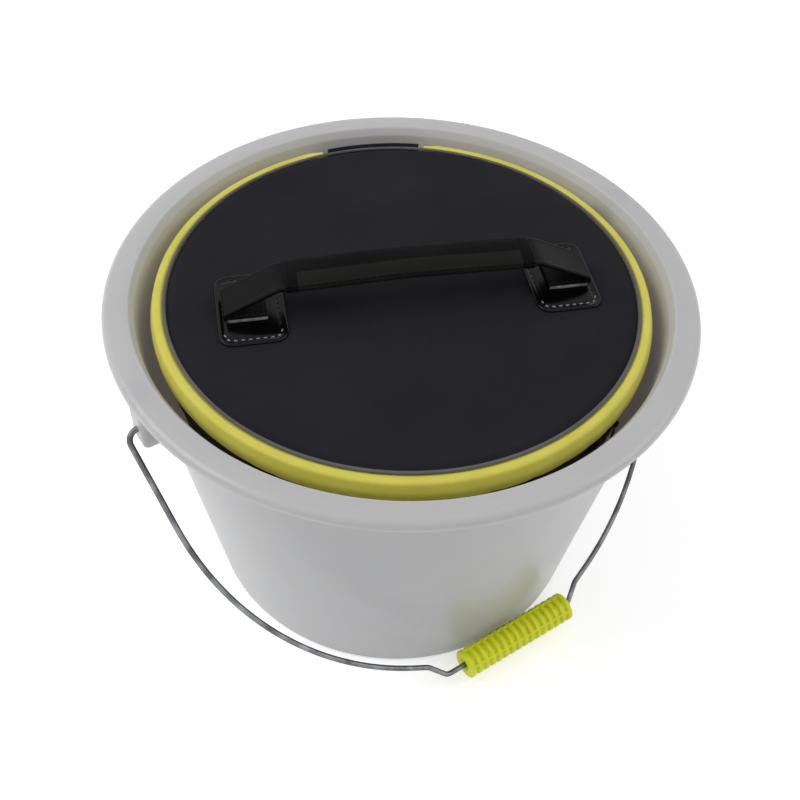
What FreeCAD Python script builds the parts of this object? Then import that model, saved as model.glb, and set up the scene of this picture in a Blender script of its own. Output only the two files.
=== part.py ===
import FreeCAD, Part
import math
import os
import Sketcher

doc = FreeCAD.newDocument("bait_bucket")
sheet = doc.addObject("Spreadsheet::Sheet", "Sizes")

# Driving sizes in millimetres; a name that ends in angle is in degrees, one that ends in count is a number
SIZES = {
    # Bucket moulding
    "bucket_height": 233.0,
    "base_radius": 135.0,
    "wall_top_radius": 169.0,
    "wall_thickness": 2.6,
    "floor_thickness": 3.0,
    "base_round": 4.0,
    "floor_round": 6.0,
    "mouth_round": 7.0,
    "rim_overhang": 16.0,
    "rim_thickness": 3.0,
    "rim_roll": 4.5,
    "flare_round": 4.5,
    "skirt_height": 5.5,
    "cut_overrun": 5.0,
    # Ears that carry the bail
    "ear_below_rim": 25.0,
    "ear_drop": 10.0,
    "ear_width": 18.0,
    "ear_inset": 2.0,
    "ear_plate": 3.5,
    "ear_cheek": 3.0,
    "ear_roof": 3.0,
    # Wire bail
    "wire_radius": 1.8,
    "pin_clearance": 0.1,
    "bail_side_gap": 3.7,
    "bail_ear_bend": 7.0,
    "bail_corner_inset": 19.0,
    "bail_corner_rise": 68.5,
    "bail_corner_share": 0.9,
    "joggle_run": 11.0,
    "joggle_rise": 12.2,
    "joggle_bend": 6.0,
    "head_radius": 3.0,
    "head_length": 3.0,
    "head_gap": 0.6,
    "ground_gap": 3.5,
    "grip_wall_gap": 1.0,
    # Grip on the bail
    "grip_length": 88.0,
    "grip_radius": 10.2,
    "rib_height": 1.8,
    "grip_end_gap": 8.5,
    "grip_shift": 5.5,
    "rib_foot_width": 3.4,
    "rib_crest_width": 2.3,
    "rib_count": 16.0,
    "ridge_width": 2.0,
    "ridge_inset": 0.1,
    "ridge_count": 4.0,
    # Bowl that stands in the bucket
    "insert_turn_angle": -25.0,
    "seat_gap": 0.3,
    "bowl_height": 199.7,
    "bowl_base_gap": 8.8,
    "bowl_wall": 3.2,
    "bowl_floor": 3.2,
    "bowl_base_round": 5.0,
    "bowl_inner_round": 2.5,
    "collar_height": 15.0,
    "collar_gap": 9.8,
    "binding_thickness": 1.4,
    "binding_height": 8.0,
    "binding_drop": 4.0,
    # Zip between bowl and lid
    "tape_thickness": 1.0,
    "tape_rise": 2.6,
    "tape_upper_width": 12.4,
    "coil_width": 3.2,
    "coil_height": 1.6,
    "coil_gap": 1.2,
    "stop_length": 2.0,
    "stop_overlap": 0.8,
    # Sewn hinge at the back of the lid
    "hinge_half_angle": 13.8,
    "hinge_gap_angle": 1.4,
    "hinge_thickness": 2.0,
    "hinge_drop": 1.4,
    # Lid
    "lid_step": 3.4,
    "lining_thickness": 1.0,
    "core_thickness": 5.0,
    "panel_thickness": 2.0,
    "piping_radius": 1.1,
    "piping_drop": 1.0,
    "band_gap": 0.2,
    "band_rise": 2.4,
    "band_crown_width": 5.2,
    "band_crown_drop": 0.4,
    "band_foot": 1.6,
    "band_bulge": 1.6,
    # Handle on the lid
    "handle_shift": 2.0,
    "handle_setback": 7.2,
    "handle_turn_angle": 2.4,
    "patch_inset": 15.5,
    "patch_width": 42.0,
    "patch_length": 62.0,
    "patch_thickness": 1.6,
    "patch_round": 9.0,
    "strap_width": 25.0,
    "strap_thickness": 2.4,
    "strap_tail": 25.0,
    "strap_return": 33.0,
    "strap_fold": 4.6,
    "strap_fold_share": 0.48,
    "strap_shoulder_rise": 23.5,
    "strap_shoulder_bend": 12.0,
    "crown_rise": 2.5,
    "strap_crown_bend": 400.0,
    "sleeve_length": 154.0,
    "sleeve_end_gap": 3.0,
    "sleeve_width": 27.5,
    "sleeve_height": 9.5,
    "sleeve_gap": 0.15,
    # Zip sliders and their pulls
    "slider_right_angle": -44.0,
    "slider_left_angle": -51.0,
    "slider_length": 9.0,
    "slider_plate": 1.6,
    "slider_clearance": 0.3,
    "stud_radius": 0.9,
    "stud_clearance": 0.08,
    "stud_head_radius": 1.9,
    "stud_head": 0.8,
    "pull_thickness": 1.2,
    "pull_gap": 0.3,
    "pull_eye": 2.1,
    "pull_length": 24.0,
    "pull_round": 1.5,
}

# Sizes that follow from the driving ones
FORMULAS = {
    "wall_slope_share": "(wall_top_radius - base_radius) / bucket_height",
    "rim_radius": "wall_top_radius + rim_overhang",
    "rim_underside": "bucket_height - rim_thickness",
    "wall_under_rim": "base_radius + wall_slope_share * rim_underside",
    "skirt_bottom": "bucket_height - skirt_height",
    "skirt_inner": "rim_radius - rim_thickness",
    "rim_roll_inner": "rim_roll - rim_thickness",
    "mouth_top": "bucket_height + cut_overrun",
    "mouth_radius": "wall_top_radius - wall_thickness",
    "mouth_top_radius": "base_radius - wall_thickness + wall_slope_share * mouth_top",
    "floor_radius": "base_radius - wall_thickness + wall_slope_share * floor_thickness",
    "ear_height": "rim_underside - ear_below_rim",
    "ear_bottom": "ear_height - ear_drop",
    "ear_root": "base_radius - wall_thickness + wall_slope_share * ear_bottom",
    "ear_face": "rim_radius - ear_inset",
    "ear_back": "ear_face - ear_plate",
    "ear_cut_bottom": "ear_bottom - cut_overrun",
    "ear_cut_top": "rim_underside - ear_roof",
    "ear_cut_width": "ear_width - 2 * ear_cheek",
    "ear_hole_radius": "wire_radius + pin_clearance",
    "ear_hole_start": "(wall_under_rim + ear_back) / 2",
    "ear_hole_length": "ear_face + cut_overrun - ear_hole_start",
    "bail_half_span": "rim_radius + wire_radius + bail_side_gap",
    "bail_end": "ear_back - head_gap - head_length",
    "bail_corner": "bail_half_span - bail_corner_inset",
    "grip_run": "grip_length / 2 + grip_end_gap",
    "joggle": "grip_run + joggle_run",
    "grip_level": "grip_radius + ground_gap",
    "grip_stand": "base_radius + wall_slope_share * grip_level + grip_radius + grip_wall_gap",
    "bail_drop": "ear_height - grip_level",
    "bail_depth": "sqrt(grip_stand ^ 2 + bail_drop ^ 2)",
    "bail_lean_angle": "atan(grip_stand / bail_drop)",
    "joggle_depth": "bail_depth - joggle_rise",
    "bail_corner_depth": "bail_depth - bail_corner_rise",
    "corner_run_in": "bail_corner - joggle",
    "corner_run_down": "bail_corner_rise - joggle_rise",
    "corner_run": "sqrt(corner_run_in ^ 2 + corner_run_down ^ 2)",
    "leg_angle": "atan(bail_corner_inset / bail_corner_depth)",
    "corner_angle": "atan(corner_run_in / corner_run_down) - leg_angle",
    "bail_corner_bend": "bail_corner_share * corner_run / tan(corner_angle / 2)",
    "grip_half": "grip_length / 2",
    "grip_core_radius": "grip_radius - rib_height",
    "grip_bore": "wire_radius + pin_clearance",
    "rib_foot_half": "rib_foot_width / 2",
    "rib_start": "rib_foot_half - grip_half",
    "rib_foot_end": "rib_start + rib_foot_half",
    "rib_crest_start": "rib_start - rib_crest_width / 2",
    "rib_crest_end": "rib_start + rib_crest_width / 2",
    "rib_span": "grip_length - rib_foot_width",
    "ridge_half": "ridge_width / 2",
    "ridge_foot": "(grip_bore + grip_core_radius) / 2",
    "ridge_crest": "grip_radius - ridge_inset",
    "bowl_bottom": "floor_thickness + seat_gap",
    "bowl_top": "bowl_bottom + bowl_height",
    "bowl_base_radius": "floor_radius - bowl_base_gap",
    "collar_bottom": "bowl_top - collar_height",
    "collar_radius": "base_radius - wall_thickness + wall_slope_share * collar_bottom - collar_gap",
    "bowl_slope_share": "(collar_radius - bowl_base_radius) / (collar_bottom - bowl_bottom)",
    "bowl_floor_top": "bowl_bottom + bowl_floor",
    "bowl_floor_radius": "bowl_base_radius + bowl_slope_share * bowl_floor - bowl_wall",
    "collar_inner": "collar_radius - bowl_wall",
    "binding_top": "bowl_top - binding_drop",
    "binding_bottom": "binding_top - binding_height",
    "binding_outer": "collar_radius + binding_thickness",
    "tape_outer": "collar_radius + tape_thickness",
    "tape_lower_top": "bowl_top + tape_rise",
    "coil_inner": "collar_radius + tape_thickness / 2 - coil_width / 2",
    "coil_outer": "coil_inner + coil_width",
    "coil_lower_top": "tape_lower_top + coil_height",
    "coil_upper_bottom": "coil_lower_top + coil_gap",
    "coil_upper_top": "coil_upper_bottom + coil_height",
    "lid_radius": "collar_radius - lid_step",
    "lining_bottom": "coil_upper_top + tape_upper_width",
    "core_bottom": "lining_bottom + lining_thickness",
    "panel_bottom": "core_bottom + core_thickness",
    "lid_top": "panel_bottom + panel_thickness",
    "piping_height": "lid_top - piping_drop",
    "piping_ring": "lid_radius + piping_radius",
    "band_top": "piping_height - piping_radius - band_gap",
    "band_bottom": "coil_upper_top + band_rise",
    "band_notch": "piping_ring + piping_radius + band_gap",
    "band_crown": "piping_height - band_crown_drop",
    "band_top_radius": "band_notch + band_crown_width",
    "band_foot_radius": "tape_outer + band_foot",
    "band_chord": "sqrt((band_crown - band_bottom) ^ 2 + (band_foot_radius - band_top_radius) ^ 2)",
    "band_bow": "(band_chord ^ 2 / 4 + band_bulge ^ 2) / (2 * band_bulge)",
    "ring_sweep_angle": "360 - 2 * hinge_half_angle",
    "panel_sweep_angle": "2 * (hinge_half_angle - hinge_gap_angle)",
    "hinge_outer": "collar_radius + hinge_thickness",
    "hinge_top": "piping_height - hinge_drop",
    "stop_bottom": "bowl_top + slider_clearance",
    "stop_inner": "coil_inner - stop_overlap",
    "stop_outer": "coil_outer + stop_overlap",
    "sleeve_half": "sleeve_length / 2",
    "strap_shoulder": "sleeve_half + sleeve_end_gap",
    "strap_reach": "strap_shoulder + strap_return",
    "patch_centre": "strap_reach - patch_inset",
    "patch_near": "patch_centre - patch_width / 2",
    "patch_far": "patch_centre + patch_width / 2",
    "patch_half": "patch_length / 2",
    "patch_top": "lid_top + patch_thickness",
    "strap_half": "strap_width / 2",
    "strap_low": "patch_top + strap_thickness / 2",
    "strap_low_top": "patch_top + strap_thickness",
    "strap_start": "strap_reach - strap_tail",
    "strap_fold_height": "strap_low + strap_fold",
    "strap_fold_bend": "strap_fold_share * strap_fold",
    "strap_shoulder_height": "lid_top + strap_shoulder_rise",
    "strap_crown_height": "strap_shoulder_height + crown_rise",
    "sleeve_end": "strap_crown_height - crown_rise * sleeve_half / strap_shoulder",
    "sleeve_tilt_angle": "atan(crown_rise / strap_shoulder)",
    "sleeve_half_width": "sleeve_width / 2",
    "sleeve_slot_half": "strap_half + sleeve_gap",
    "sleeve_half_height": "sleeve_height / 2",
    "sleeve_slot_height": "strap_thickness / 2 + sleeve_gap",
    "slider_bottom": "bowl_top + slider_clearance",
    "slider_top": "band_bottom - 2 * slider_clearance",
    "slider_inner_face": "coil_inner - slider_clearance",
    "slider_inner": "slider_inner_face - slider_plate",
    "slider_outer_face": "coil_outer + slider_clearance",
    "slider_outer": "slider_outer_face + slider_plate",
    "web_bottom": "coil_lower_top + slider_clearance",
    "web_top": "coil_upper_bottom - slider_clearance",
    "pull_pivot": "(slider_bottom + slider_top) / 2",
    "stud_length": "pull_thickness + 2 * pull_gap",
    "stud_end": "slider_outer + stud_length",
    "pull_back": "slider_outer + pull_gap",
    "pull_hole_radius": "stud_radius + stud_clearance",
    "pull_top": "pull_pivot + pull_eye",
    "pull_bottom": "pull_pivot - pull_length",
}

for row, (name, text) in enumerate(list(SIZES.items()) + list(FORMULAS.items()), start=1):
    sheet.set("A%d" % row, name)
    sheet.set("B%d" % row, "=" + text if name in FORMULAS else str(text))
    sheet.setAlias("B%d" % row, name)
doc.recompute()


def value(cell):
    """Value of a named cell, mirrored by a leading minus; "0" is the axis itself."""
    if cell == "0":
        return 0.0
    number = sheet.get(cell.lstrip("-"))
    number = float(getattr(number, "Value", number))
    return -number if cell.startswith("-") else number


def bound(cell):
    """Expression that follows a named cell."""
    return "-Sizes.%s" % cell[1:] if cell.startswith("-") else "Sizes.%s" % cell


def bind(item, **properties):
    """Tie properties of a document object to named cells."""
    for name, cell in properties.items():
        item.setExpression(name, bound(cell))


def new_body(label):
    """Empty body that becomes one node."""
    body = doc.addObject("PartDesign::Body", label)
    body.Label = label
    return body


def origin_feature(body, role):
    """One of the body's own origin planes or axes."""
    return next(item for item in body.Origin.OriginFeatures if item.Role == role)


def new_sketch(body, role, lift=None):
    """Sketch on one of the body's origin planes, lifted along its normal by a named cell."""
    sketch = body.newObject("Sketcher::SketchObject", body.Name + "_sketch")
    sketch.AttachmentSupport = [(origin_feature(body, role), "")]
    sketch.MapMode = "FlatFace"
    if lift:
        sketch.setExpression("AttachmentOffset.Base.z", bound(lift))
    return sketch


def hold(sketch, piece, end, across, up):
    """Hold one end of a drawn line at a named place."""
    for kind, axis, cell in (("DistanceX", -2, across), ("DistanceY", -1, up)):
        if cell == "0":
            sketch.addConstraint(Sketcher.Constraint("PointOnObject", piece, end, axis))
            continue
        number = sketch.addConstraint(Sketcher.Constraint(kind, -1, 1, piece, end, value(cell)))
        sketch.setExpression("Constraints[%d]" % number, bound(cell))


def bowed(start, end, radius):
    """Arc that turns left from start to end with the given radius."""
    chord = end - start
    depth = radius - math.sqrt(radius ** 2 - (chord.Length / 2) ** 2)
    side = FreeCAD.Vector(chord.y, -chord.x, 0).normalize()
    return Part.Arc(start, (start + end) * 0.5 + side * depth, end)


def outline(sketch, corners, bows=None):
    """Close an outline through named corners; bows gives the radius cell of each edge that is an arc."""
    bows = bows or {}
    first = sketch.GeometryCount
    points = [FreeCAD.Vector(value(across), value(up), 0) for across, up in corners]
    for i, start in enumerate(points):
        end = points[(i + 1) % len(points)]
        curve = bowed(start, end, value(bows[i])) if i in bows else Part.LineSegment(start, end)
        sketch.addGeometry(curve, False)
    for i, (across, up) in enumerate(corners):
        follower = first + (i + 1) % len(points)
        sketch.addConstraint(Sketcher.Constraint("Coincident", first + i, 2, follower, 1))
        hold(sketch, first + i, 1, across, up)
    for i, cell in bows.items():
        number = sketch.addConstraint(Sketcher.Constraint("Radius", first + i, value(cell)))
        sketch.setExpression("Constraints[%d]" % number, bound(cell))
    doc.recompute()


def disc(sketch, across, up, radius):
    """Draw a circle of a named radius at a named place."""
    centre = FreeCAD.Vector(value(across), value(up), 0)
    circle = Part.Circle(centre, FreeCAD.Vector(0, 0, 1), value(radius))
    piece = sketch.addGeometry(circle, False)
    hold(sketch, piece, 3, across, up)
    number = sketch.addConstraint(Sketcher.Constraint("Radius", piece, value(radius)))
    sketch.setExpression("Constraints[%d]" % number, bound(radius))
    doc.recompute()


def mirrored(corners):
    """The same corners on the other side of the upright axis, in reverse order."""
    return [("-" + across, up) for across, up in reversed(corners)]


def bent_path(sketch, corners, bends):
    """Draw an open path of straight runs and tangent arcs; bends has one radius cell per inner corner."""
    points = [FreeCAD.Vector(value(across), value(up), 0) for across, up in corners]
    start = points[0]
    runs = []
    arcs = []
    for before, corner, after, bend in zip(points, points[1:], points[2:], bends):
        back = (before - corner).normalize()
        ahead = (after - corner).normalize()
        half_turn = (math.pi - back.getAngle(ahead)) / 2
        radius = value(bend)
        inset = radius * math.tan(half_turn)
        entry = corner + back * inset
        middle = corner + (back + ahead).normalize() * (radius / math.cos(half_turn) - radius)
        runs.append(sketch.addGeometry(Part.LineSegment(start, entry), False))
        start = corner + ahead * inset
        arcs.append(sketch.addGeometry(Part.Arc(entry, middle, start), False))
    runs.append(sketch.addGeometry(Part.LineSegment(start, points[-1]), False))
    hold(sketch, runs[0], 1, *corners[0])
    hold(sketch, runs[-1], 2, *corners[-1])
    for i, arc in enumerate(arcs):
        mark = sketch.addGeometry(Part.Point(points[i + 1]), True)
        hold(sketch, mark, 1, *corners[i + 1])
        run_end = sketch.getPoint(runs[i], 2)
        near, far = (1, 2) if sketch.getPoint(arc, 1).isEqual(run_end, value("seat_gap")) else (2, 1)
        sketch.addConstraint(Sketcher.Constraint("Tangent", runs[i], 2, arc, near))
        sketch.addConstraint(Sketcher.Constraint("Tangent", arc, far, runs[i + 1], 1))
        sketch.addConstraint(Sketcher.Constraint("PointOnObject", mark, 1, runs[i]))
        sketch.addConstraint(Sketcher.Constraint("PointOnObject", mark, 1, runs[i + 1]))
        number = sketch.addConstraint(Sketcher.Constraint("Radius", arc, value(bends[i])))
        sketch.setExpression("Constraints[%d]" % number, bound(bends[i]))
    doc.recompute()


def sweep_along(body, section, path):
    """Carry a section along the whole of a path."""
    feature = body.newObject("PartDesign::AdditivePipe", body.Name + "_swept")
    feature.Profile = section
    feature.Spine = (path, ["Edge%d" % i for i in range(1, len(path.Shape.Edges) + 1)])
    doc.recompute()
    return feature


def revolve(body, sketch, kind="Revolution", axis="V_Axis", sweep=None):
    """Turn a sketch about one of its axes, all the way round or by a named angle."""
    feature = body.newObject("PartDesign::" + kind, body.Name + "_turned")
    feature.Profile = sketch
    feature.ReferenceAxis = (sketch, [axis])
    feature.Angle = 360
    if sweep:
        bind(feature, Angle=sweep)
    doc.recompute()
    return feature


def extrude(body, sketch, length, kind="Pad", both=False, reverse=False):
    """Pad or pocket a sketch by a named length."""
    feature = body.newObject("PartDesign::" + kind, body.Name + "_extruded")
    feature.Profile = sketch
    feature.SideType = "Symmetric" if both else "One side"
    feature.Reversed = reverse
    bind(feature, Length=length)
    doc.recompute()
    return feature


def round_edges(body, base, radius, chosen):
    """Fillet the edges of a feature that a test picks."""
    names = ["Edge%d" % i for i, edge in enumerate(base.Shape.Edges, start=1) if chosen(edge)]
    feature = body.newObject("PartDesign::Fillet", body.Name + "_round")
    feature.Base = (base, names)
    bind(feature, Radius=radius)
    doc.recompute()
    return feature


def ring_edge(radius, height):
    """Test for the round edge of a named radius at a named height."""
    def chosen(edge):
        curve = edge.Curve
        if not isinstance(curve, Part.Circle):
            return False
        level = abs(curve.Center.z - value(height)) < value("seat_gap")
        return level and math.isclose(curve.Radius, value(radius))
    return chosen


def edge_along(direction):
    """Test for straight edges that run along a direction."""
    def chosen(edge):
        return edge.tangentAt(edge.FirstParameter).isParallel(direction, 1e-6)
    return chosen


def turned_part(label, corners, bows=None, sweep=None, angle=0.0):
    """Body of revolution about Z, swept by a named angle and turned to its place."""
    body = new_body(label)
    sketch = new_sketch(body, "XZ_Plane")
    outline(sketch, corners, bows)
    revolve(body, sketch, sweep=sweep)
    body.Placement = turned_by(angle)
    return body


def turned_by(angle):
    """Placement turned about Z."""
    return FreeCAD.Placement(FreeCAD.Vector(), FreeCAD.Rotation(FreeCAD.Vector(0, 0, 1), angle))


def lid_disc(label, height, bottom):
    """Round sheet of the lid."""
    sheet_disc = doc.addObject("Part::Cylinder", label)
    sheet_disc.Label = label
    bind(sheet_disc, Radius="lid_radius", Height=height)
    sheet_disc.setExpression("Placement.Base.z", bound(bottom))
    return sheet_disc


parts = []

# Bucket: a solid of revolution with ears, hollowed last so that the wall stays even behind the ears
bucket = new_body("bucket_shell")
sketch = new_sketch(bucket, "XZ_Plane")
outline(sketch, [
    ("0", "0"), ("base_radius", "0"), ("wall_under_rim", "rim_underside"), ("skirt_inner", "rim_underside"),
    ("skirt_inner", "skirt_bottom"), ("rim_radius", "skirt_bottom"), ("rim_radius", "bucket_height"),
    ("0", "bucket_height"),
])
blank = revolve(bucket, sketch)
blank = round_edges(bucket, blank, "rim_roll", ring_edge("rim_radius", "bucket_height"))
blank = round_edges(bucket, blank, "rim_roll_inner", ring_edge("skirt_inner", "rim_underside"))
blank = round_edges(bucket, blank, "flare_round", ring_edge("wall_under_rim", "rim_underside"))
blank = round_edges(bucket, blank, "base_round", ring_edge("base_radius", "0"))

# Hollow ear, open below, with the hole that the wire turns in
sketch = new_sketch(bucket, "XZ_Plane")
outline(sketch, [
    ("ear_root", "ear_bottom"), ("ear_face", "ear_bottom"), ("ear_face", "rim_underside"),
    ("ear_root", "rim_underside"),
])
ear = extrude(bucket, sketch, "ear_width", both=True)
sketch = new_sketch(bucket, "XZ_Plane")
outline(sketch, [
    ("wall_under_rim", "ear_cut_bottom"), ("ear_back", "ear_cut_bottom"), ("ear_back", "ear_cut_top"),
    ("wall_under_rim", "ear_cut_top"),
])
ear_cavity = extrude(bucket, sketch, "ear_cut_width", kind="Pocket", both=True)
sketch = new_sketch(bucket, "YZ_Plane", lift="ear_hole_start")
disc(sketch, "0", "ear_height", "ear_hole_radius")
ear_hole = extrude(bucket, sketch, "ear_hole_length", kind="Pocket", reverse=True)
ears = bucket.newObject("PartDesign::PolarPattern", "bucket_ears")
ears.Originals = [ear, ear_cavity, ear_hole]
ears.Axis = (origin_feature(bucket, "Z_Axis"), [""])
ears.Angle = 360
ears.Occurrences = 2
bucket.Tip = ears
doc.recompute()

sketch = new_sketch(bucket, "XZ_Plane")
outline(sketch, [
    ("0", "floor_thickness"), ("floor_radius", "floor_thickness"), ("mouth_top_radius", "mouth_top"),
    ("0", "mouth_top"),
])
hollow = revolve(bucket, sketch, kind="Groove")
hollow = round_edges(bucket, hollow, "floor_round", ring_edge("floor_radius", "floor_thickness"))
hollow = round_edges(bucket, hollow, "mouth_round", ring_edge("mouth_radius", "bucket_height"))
parts.append(bucket)

# Bail: bent round wire drawn hanging from the ear axis, then leant forward until the grip is by the wall
half_route = [
    ("bail_end", "0"), ("bail_half_span", "0"), ("bail_corner", "-bail_corner_depth"),
    ("joggle", "-joggle_depth"), ("grip_run", "-bail_depth"),
]
half_bends = ["bail_ear_bend", "bail_corner_bend", "joggle_bend", "joggle_bend"]
bail = new_body("bail_wire")
path = new_sketch(bail, "XZ_Plane")
bent_path(path, half_route + mirrored(half_route), half_bends + half_bends[::-1])
section = new_sketch(bail, "YZ_Plane", lift="bail_end")
disc(section, "0", "0", "wire_radius")
sweep_along(bail, section, path)
for wire_end, leftward in (("bail_end", False), ("-bail_end", True)):
    section = new_sketch(bail, "YZ_Plane", lift=wire_end)
    disc(section, "0", "0", "head_radius")
    extrude(bail, section, "head_length", reverse=leftward)
lean = FreeCAD.Rotation(FreeCAD.Vector(1, 0, 0), -value("bail_lean_angle"))
ear_axis = FreeCAD.Vector(0, 0, value("ear_height"))
bail.Placement = FreeCAD.Placement(ear_axis, lean)
parts.append(bail)

# Grip: tube on the straight run of the wire, with rings of ribs crossed by long ridges
grip = new_body("bail_grip")
sketch = new_sketch(grip, "XZ_Plane")
outline(sketch, [
    ("-grip_half", "grip_bore"), ("grip_half", "grip_bore"), ("grip_half", "grip_core_radius"),
    ("-grip_half", "grip_core_radius"),
])
revolve(grip, sketch, axis="H_Axis")
sketch = new_sketch(grip, "XZ_Plane")
outline(sketch, [
    ("-grip_half", "ridge_foot"), ("rib_foot_end", "ridge_foot"), ("rib_foot_end", "grip_core_radius"),
    ("rib_crest_end", "grip_radius"), ("rib_crest_start", "grip_radius"), ("-grip_half", "grip_core_radius"),
])
rib = revolve(grip, sketch, axis="H_Axis")
ribs = grip.newObject("PartDesign::LinearPattern", "grip_ribs")
ribs.Originals = [rib]
ribs.Direction = (origin_feature(grip, "X_Axis"), [""])
bind(ribs, Length="rib_span", Occurrences="rib_count")
grip.Tip = ribs
doc.recompute()
sketch = new_sketch(grip, "YZ_Plane")
outline(sketch, [
    ("-ridge_half", "ridge_foot"), ("ridge_half", "ridge_foot"), ("ridge_half", "ridge_crest"),
    ("-ridge_half", "ridge_crest"),
])
ridge = extrude(grip, sketch, "grip_length", both=True)
ridges = grip.newObject("PartDesign::PolarPattern", "grip_ridges")
ridges.Originals = [ridge]
ridges.Axis = (origin_feature(grip, "X_Axis"), [""])
ridges.Angle = 360
bind(ridges, Occurrences="ridge_count")
grip.Tip = ridges
doc.recompute()
grip_drop = lean.multVec(FreeCAD.Vector(0, 0, -value("bail_depth")))
grip_slide = FreeCAD.Vector(value("grip_shift"), 0, 0)
grip.Placement = FreeCAD.Placement(ear_axis + grip_drop + grip_slide, lean)
parts.append(grip)

# Bowl: tapered cup with an upright collar, standing on the bucket floor
insert_turn = value("insert_turn_angle")
ring_start = insert_turn + 90.0 + value("hinge_half_angle")
bowl = new_body("bowl_shell")
sketch = new_sketch(bowl, "XZ_Plane")
outline(sketch, [
    ("0", "bowl_bottom"), ("bowl_base_radius", "bowl_bottom"), ("collar_radius", "collar_bottom"),
    ("collar_radius", "bowl_top"), ("collar_inner", "bowl_top"), ("collar_inner", "collar_bottom"),
    ("bowl_floor_radius", "bowl_floor_top"), ("0", "bowl_floor_top"),
])
cup = revolve(bowl, sketch)
cup = round_edges(bowl, cup, "bowl_base_round", ring_edge("bowl_base_radius", "bowl_bottom"))
cup = round_edges(bowl, cup, "bowl_inner_round", ring_edge("bowl_floor_radius", "bowl_floor_top"))
parts.append(bowl)

# Sewn rings of the bowl and the lid, all open at the hinge
RINGS = {
    "bowl_binding": [
        ("collar_radius", "binding_bottom"), ("binding_outer", "binding_bottom"),
        ("binding_outer", "binding_top"), ("collar_radius", "binding_top"),
    ],
    "zip_tape_lower": [
        ("collar_radius", "binding_top"), ("tape_outer", "binding_top"),
        ("tape_outer", "tape_lower_top"), ("collar_radius", "tape_lower_top"),
    ],
    "zip_coil_lower": [
        ("coil_inner", "tape_lower_top"), ("coil_outer", "tape_lower_top"),
        ("coil_outer", "coil_lower_top"), ("coil_inner", "coil_lower_top"),
    ],
    "zip_coil_upper": [
        ("coil_inner", "coil_upper_bottom"), ("coil_outer", "coil_upper_bottom"),
        ("coil_outer", "coil_upper_top"), ("coil_inner", "coil_upper_top"),
    ],
    "zip_tape_upper": [
        ("collar_radius", "coil_upper_top"), ("tape_outer", "coil_upper_top"),
        ("tape_outer", "lining_bottom"), ("collar_radius", "lining_bottom"),
    ],
}
for label, corners in RINGS.items():
    parts.append(turned_part(label, corners, sweep="ring_sweep_angle", angle=ring_start))

# Padded side band of the lid, bowed outwards and notched for the piping
parts.append(turned_part("lid_side_band", [
    ("tape_outer", "band_bottom"), ("band_foot_radius", "band_bottom"), ("band_top_radius", "band_crown"),
    ("band_notch", "band_crown"), ("band_notch", "band_top"), ("lid_radius", "band_top"),
    ("lid_radius", "lining_bottom"), ("tape_outer", "lining_bottom"),
], bows={1: "band_bow"}, sweep="ring_sweep_angle", angle=ring_start))

# Hinge panel, sewn to the collar at the back and standing up behind the lid's piping
panel_start = insert_turn + 90.0 - value("panel_sweep_angle") / 2
parts.append(turned_part("hinge_panel", [
    ("collar_radius", "binding_bottom"), ("hinge_outer", "binding_bottom"), ("hinge_outer", "hinge_top"),
    ("collar_radius", "hinge_top"),
], sweep="panel_sweep_angle", angle=panel_start))

# End stops on the bowl's half of the zip, one each side of the hinge
for label, side in (("zip_stop_right", -1.0), ("zip_stop_left", 1.0)):
    stop = new_body(label)
    sketch = new_sketch(stop, "XZ_Plane")
    outline(sketch, [
        ("stop_inner", "stop_bottom"), ("stop_outer", "stop_bottom"), ("stop_outer", "coil_lower_top"),
        ("stop_inner", "coil_lower_top"),
    ])
    extrude(stop, sketch, "stop_length", reverse=side < 0)
    stop.Placement = turned_by(insert_turn + 90.0 + side * value("hinge_half_angle"))
    parts.append(stop)

# Lid: lining, stiff core and top skin, with piping round the edge
parts.append(lid_disc("lid_lining", "lining_thickness", "lining_bottom"))
parts.append(lid_disc("lid_core", "core_thickness", "core_bottom"))
parts.append(lid_disc("lid_top_panel", "panel_thickness", "panel_bottom"))
piping = doc.addObject("Part::Torus", "lid_piping")
piping.Label = "lid_piping"
bind(piping, Radius1="piping_ring", Radius2="piping_radius")
piping.setExpression("Placement.Base.z", bound("piping_height"))
parts.append(piping)

# Handle patches on the lid, set a little away from the hinge
handle_offset = FreeCAD.Vector(value("handle_shift"), -value("handle_setback"), 0)
handle_turn = FreeCAD.Rotation(FreeCAD.Vector(0, 0, 1), value("handle_turn_angle"))
handle_place = turned_by(insert_turn) * FreeCAD.Placement(handle_offset, handle_turn)
for label, angle in (("handle_patch_right", 0.0), ("handle_patch_left", 180.0)):
    patch = new_body(label)
    sketch = new_sketch(patch, "XY_Plane", lift="lid_top")
    outline(sketch, [
        ("patch_near", "-patch_half"), ("patch_far", "-patch_half"), ("patch_far", "patch_half"),
        ("patch_near", "patch_half"),
    ])
    slab = extrude(patch, sketch, "patch_thickness")
    round_edges(patch, slab, "patch_round", edge_along(FreeCAD.Vector(0, 0, 1)))
    patch.Placement = handle_place * turned_by(angle)
    parts.append(patch)

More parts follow.
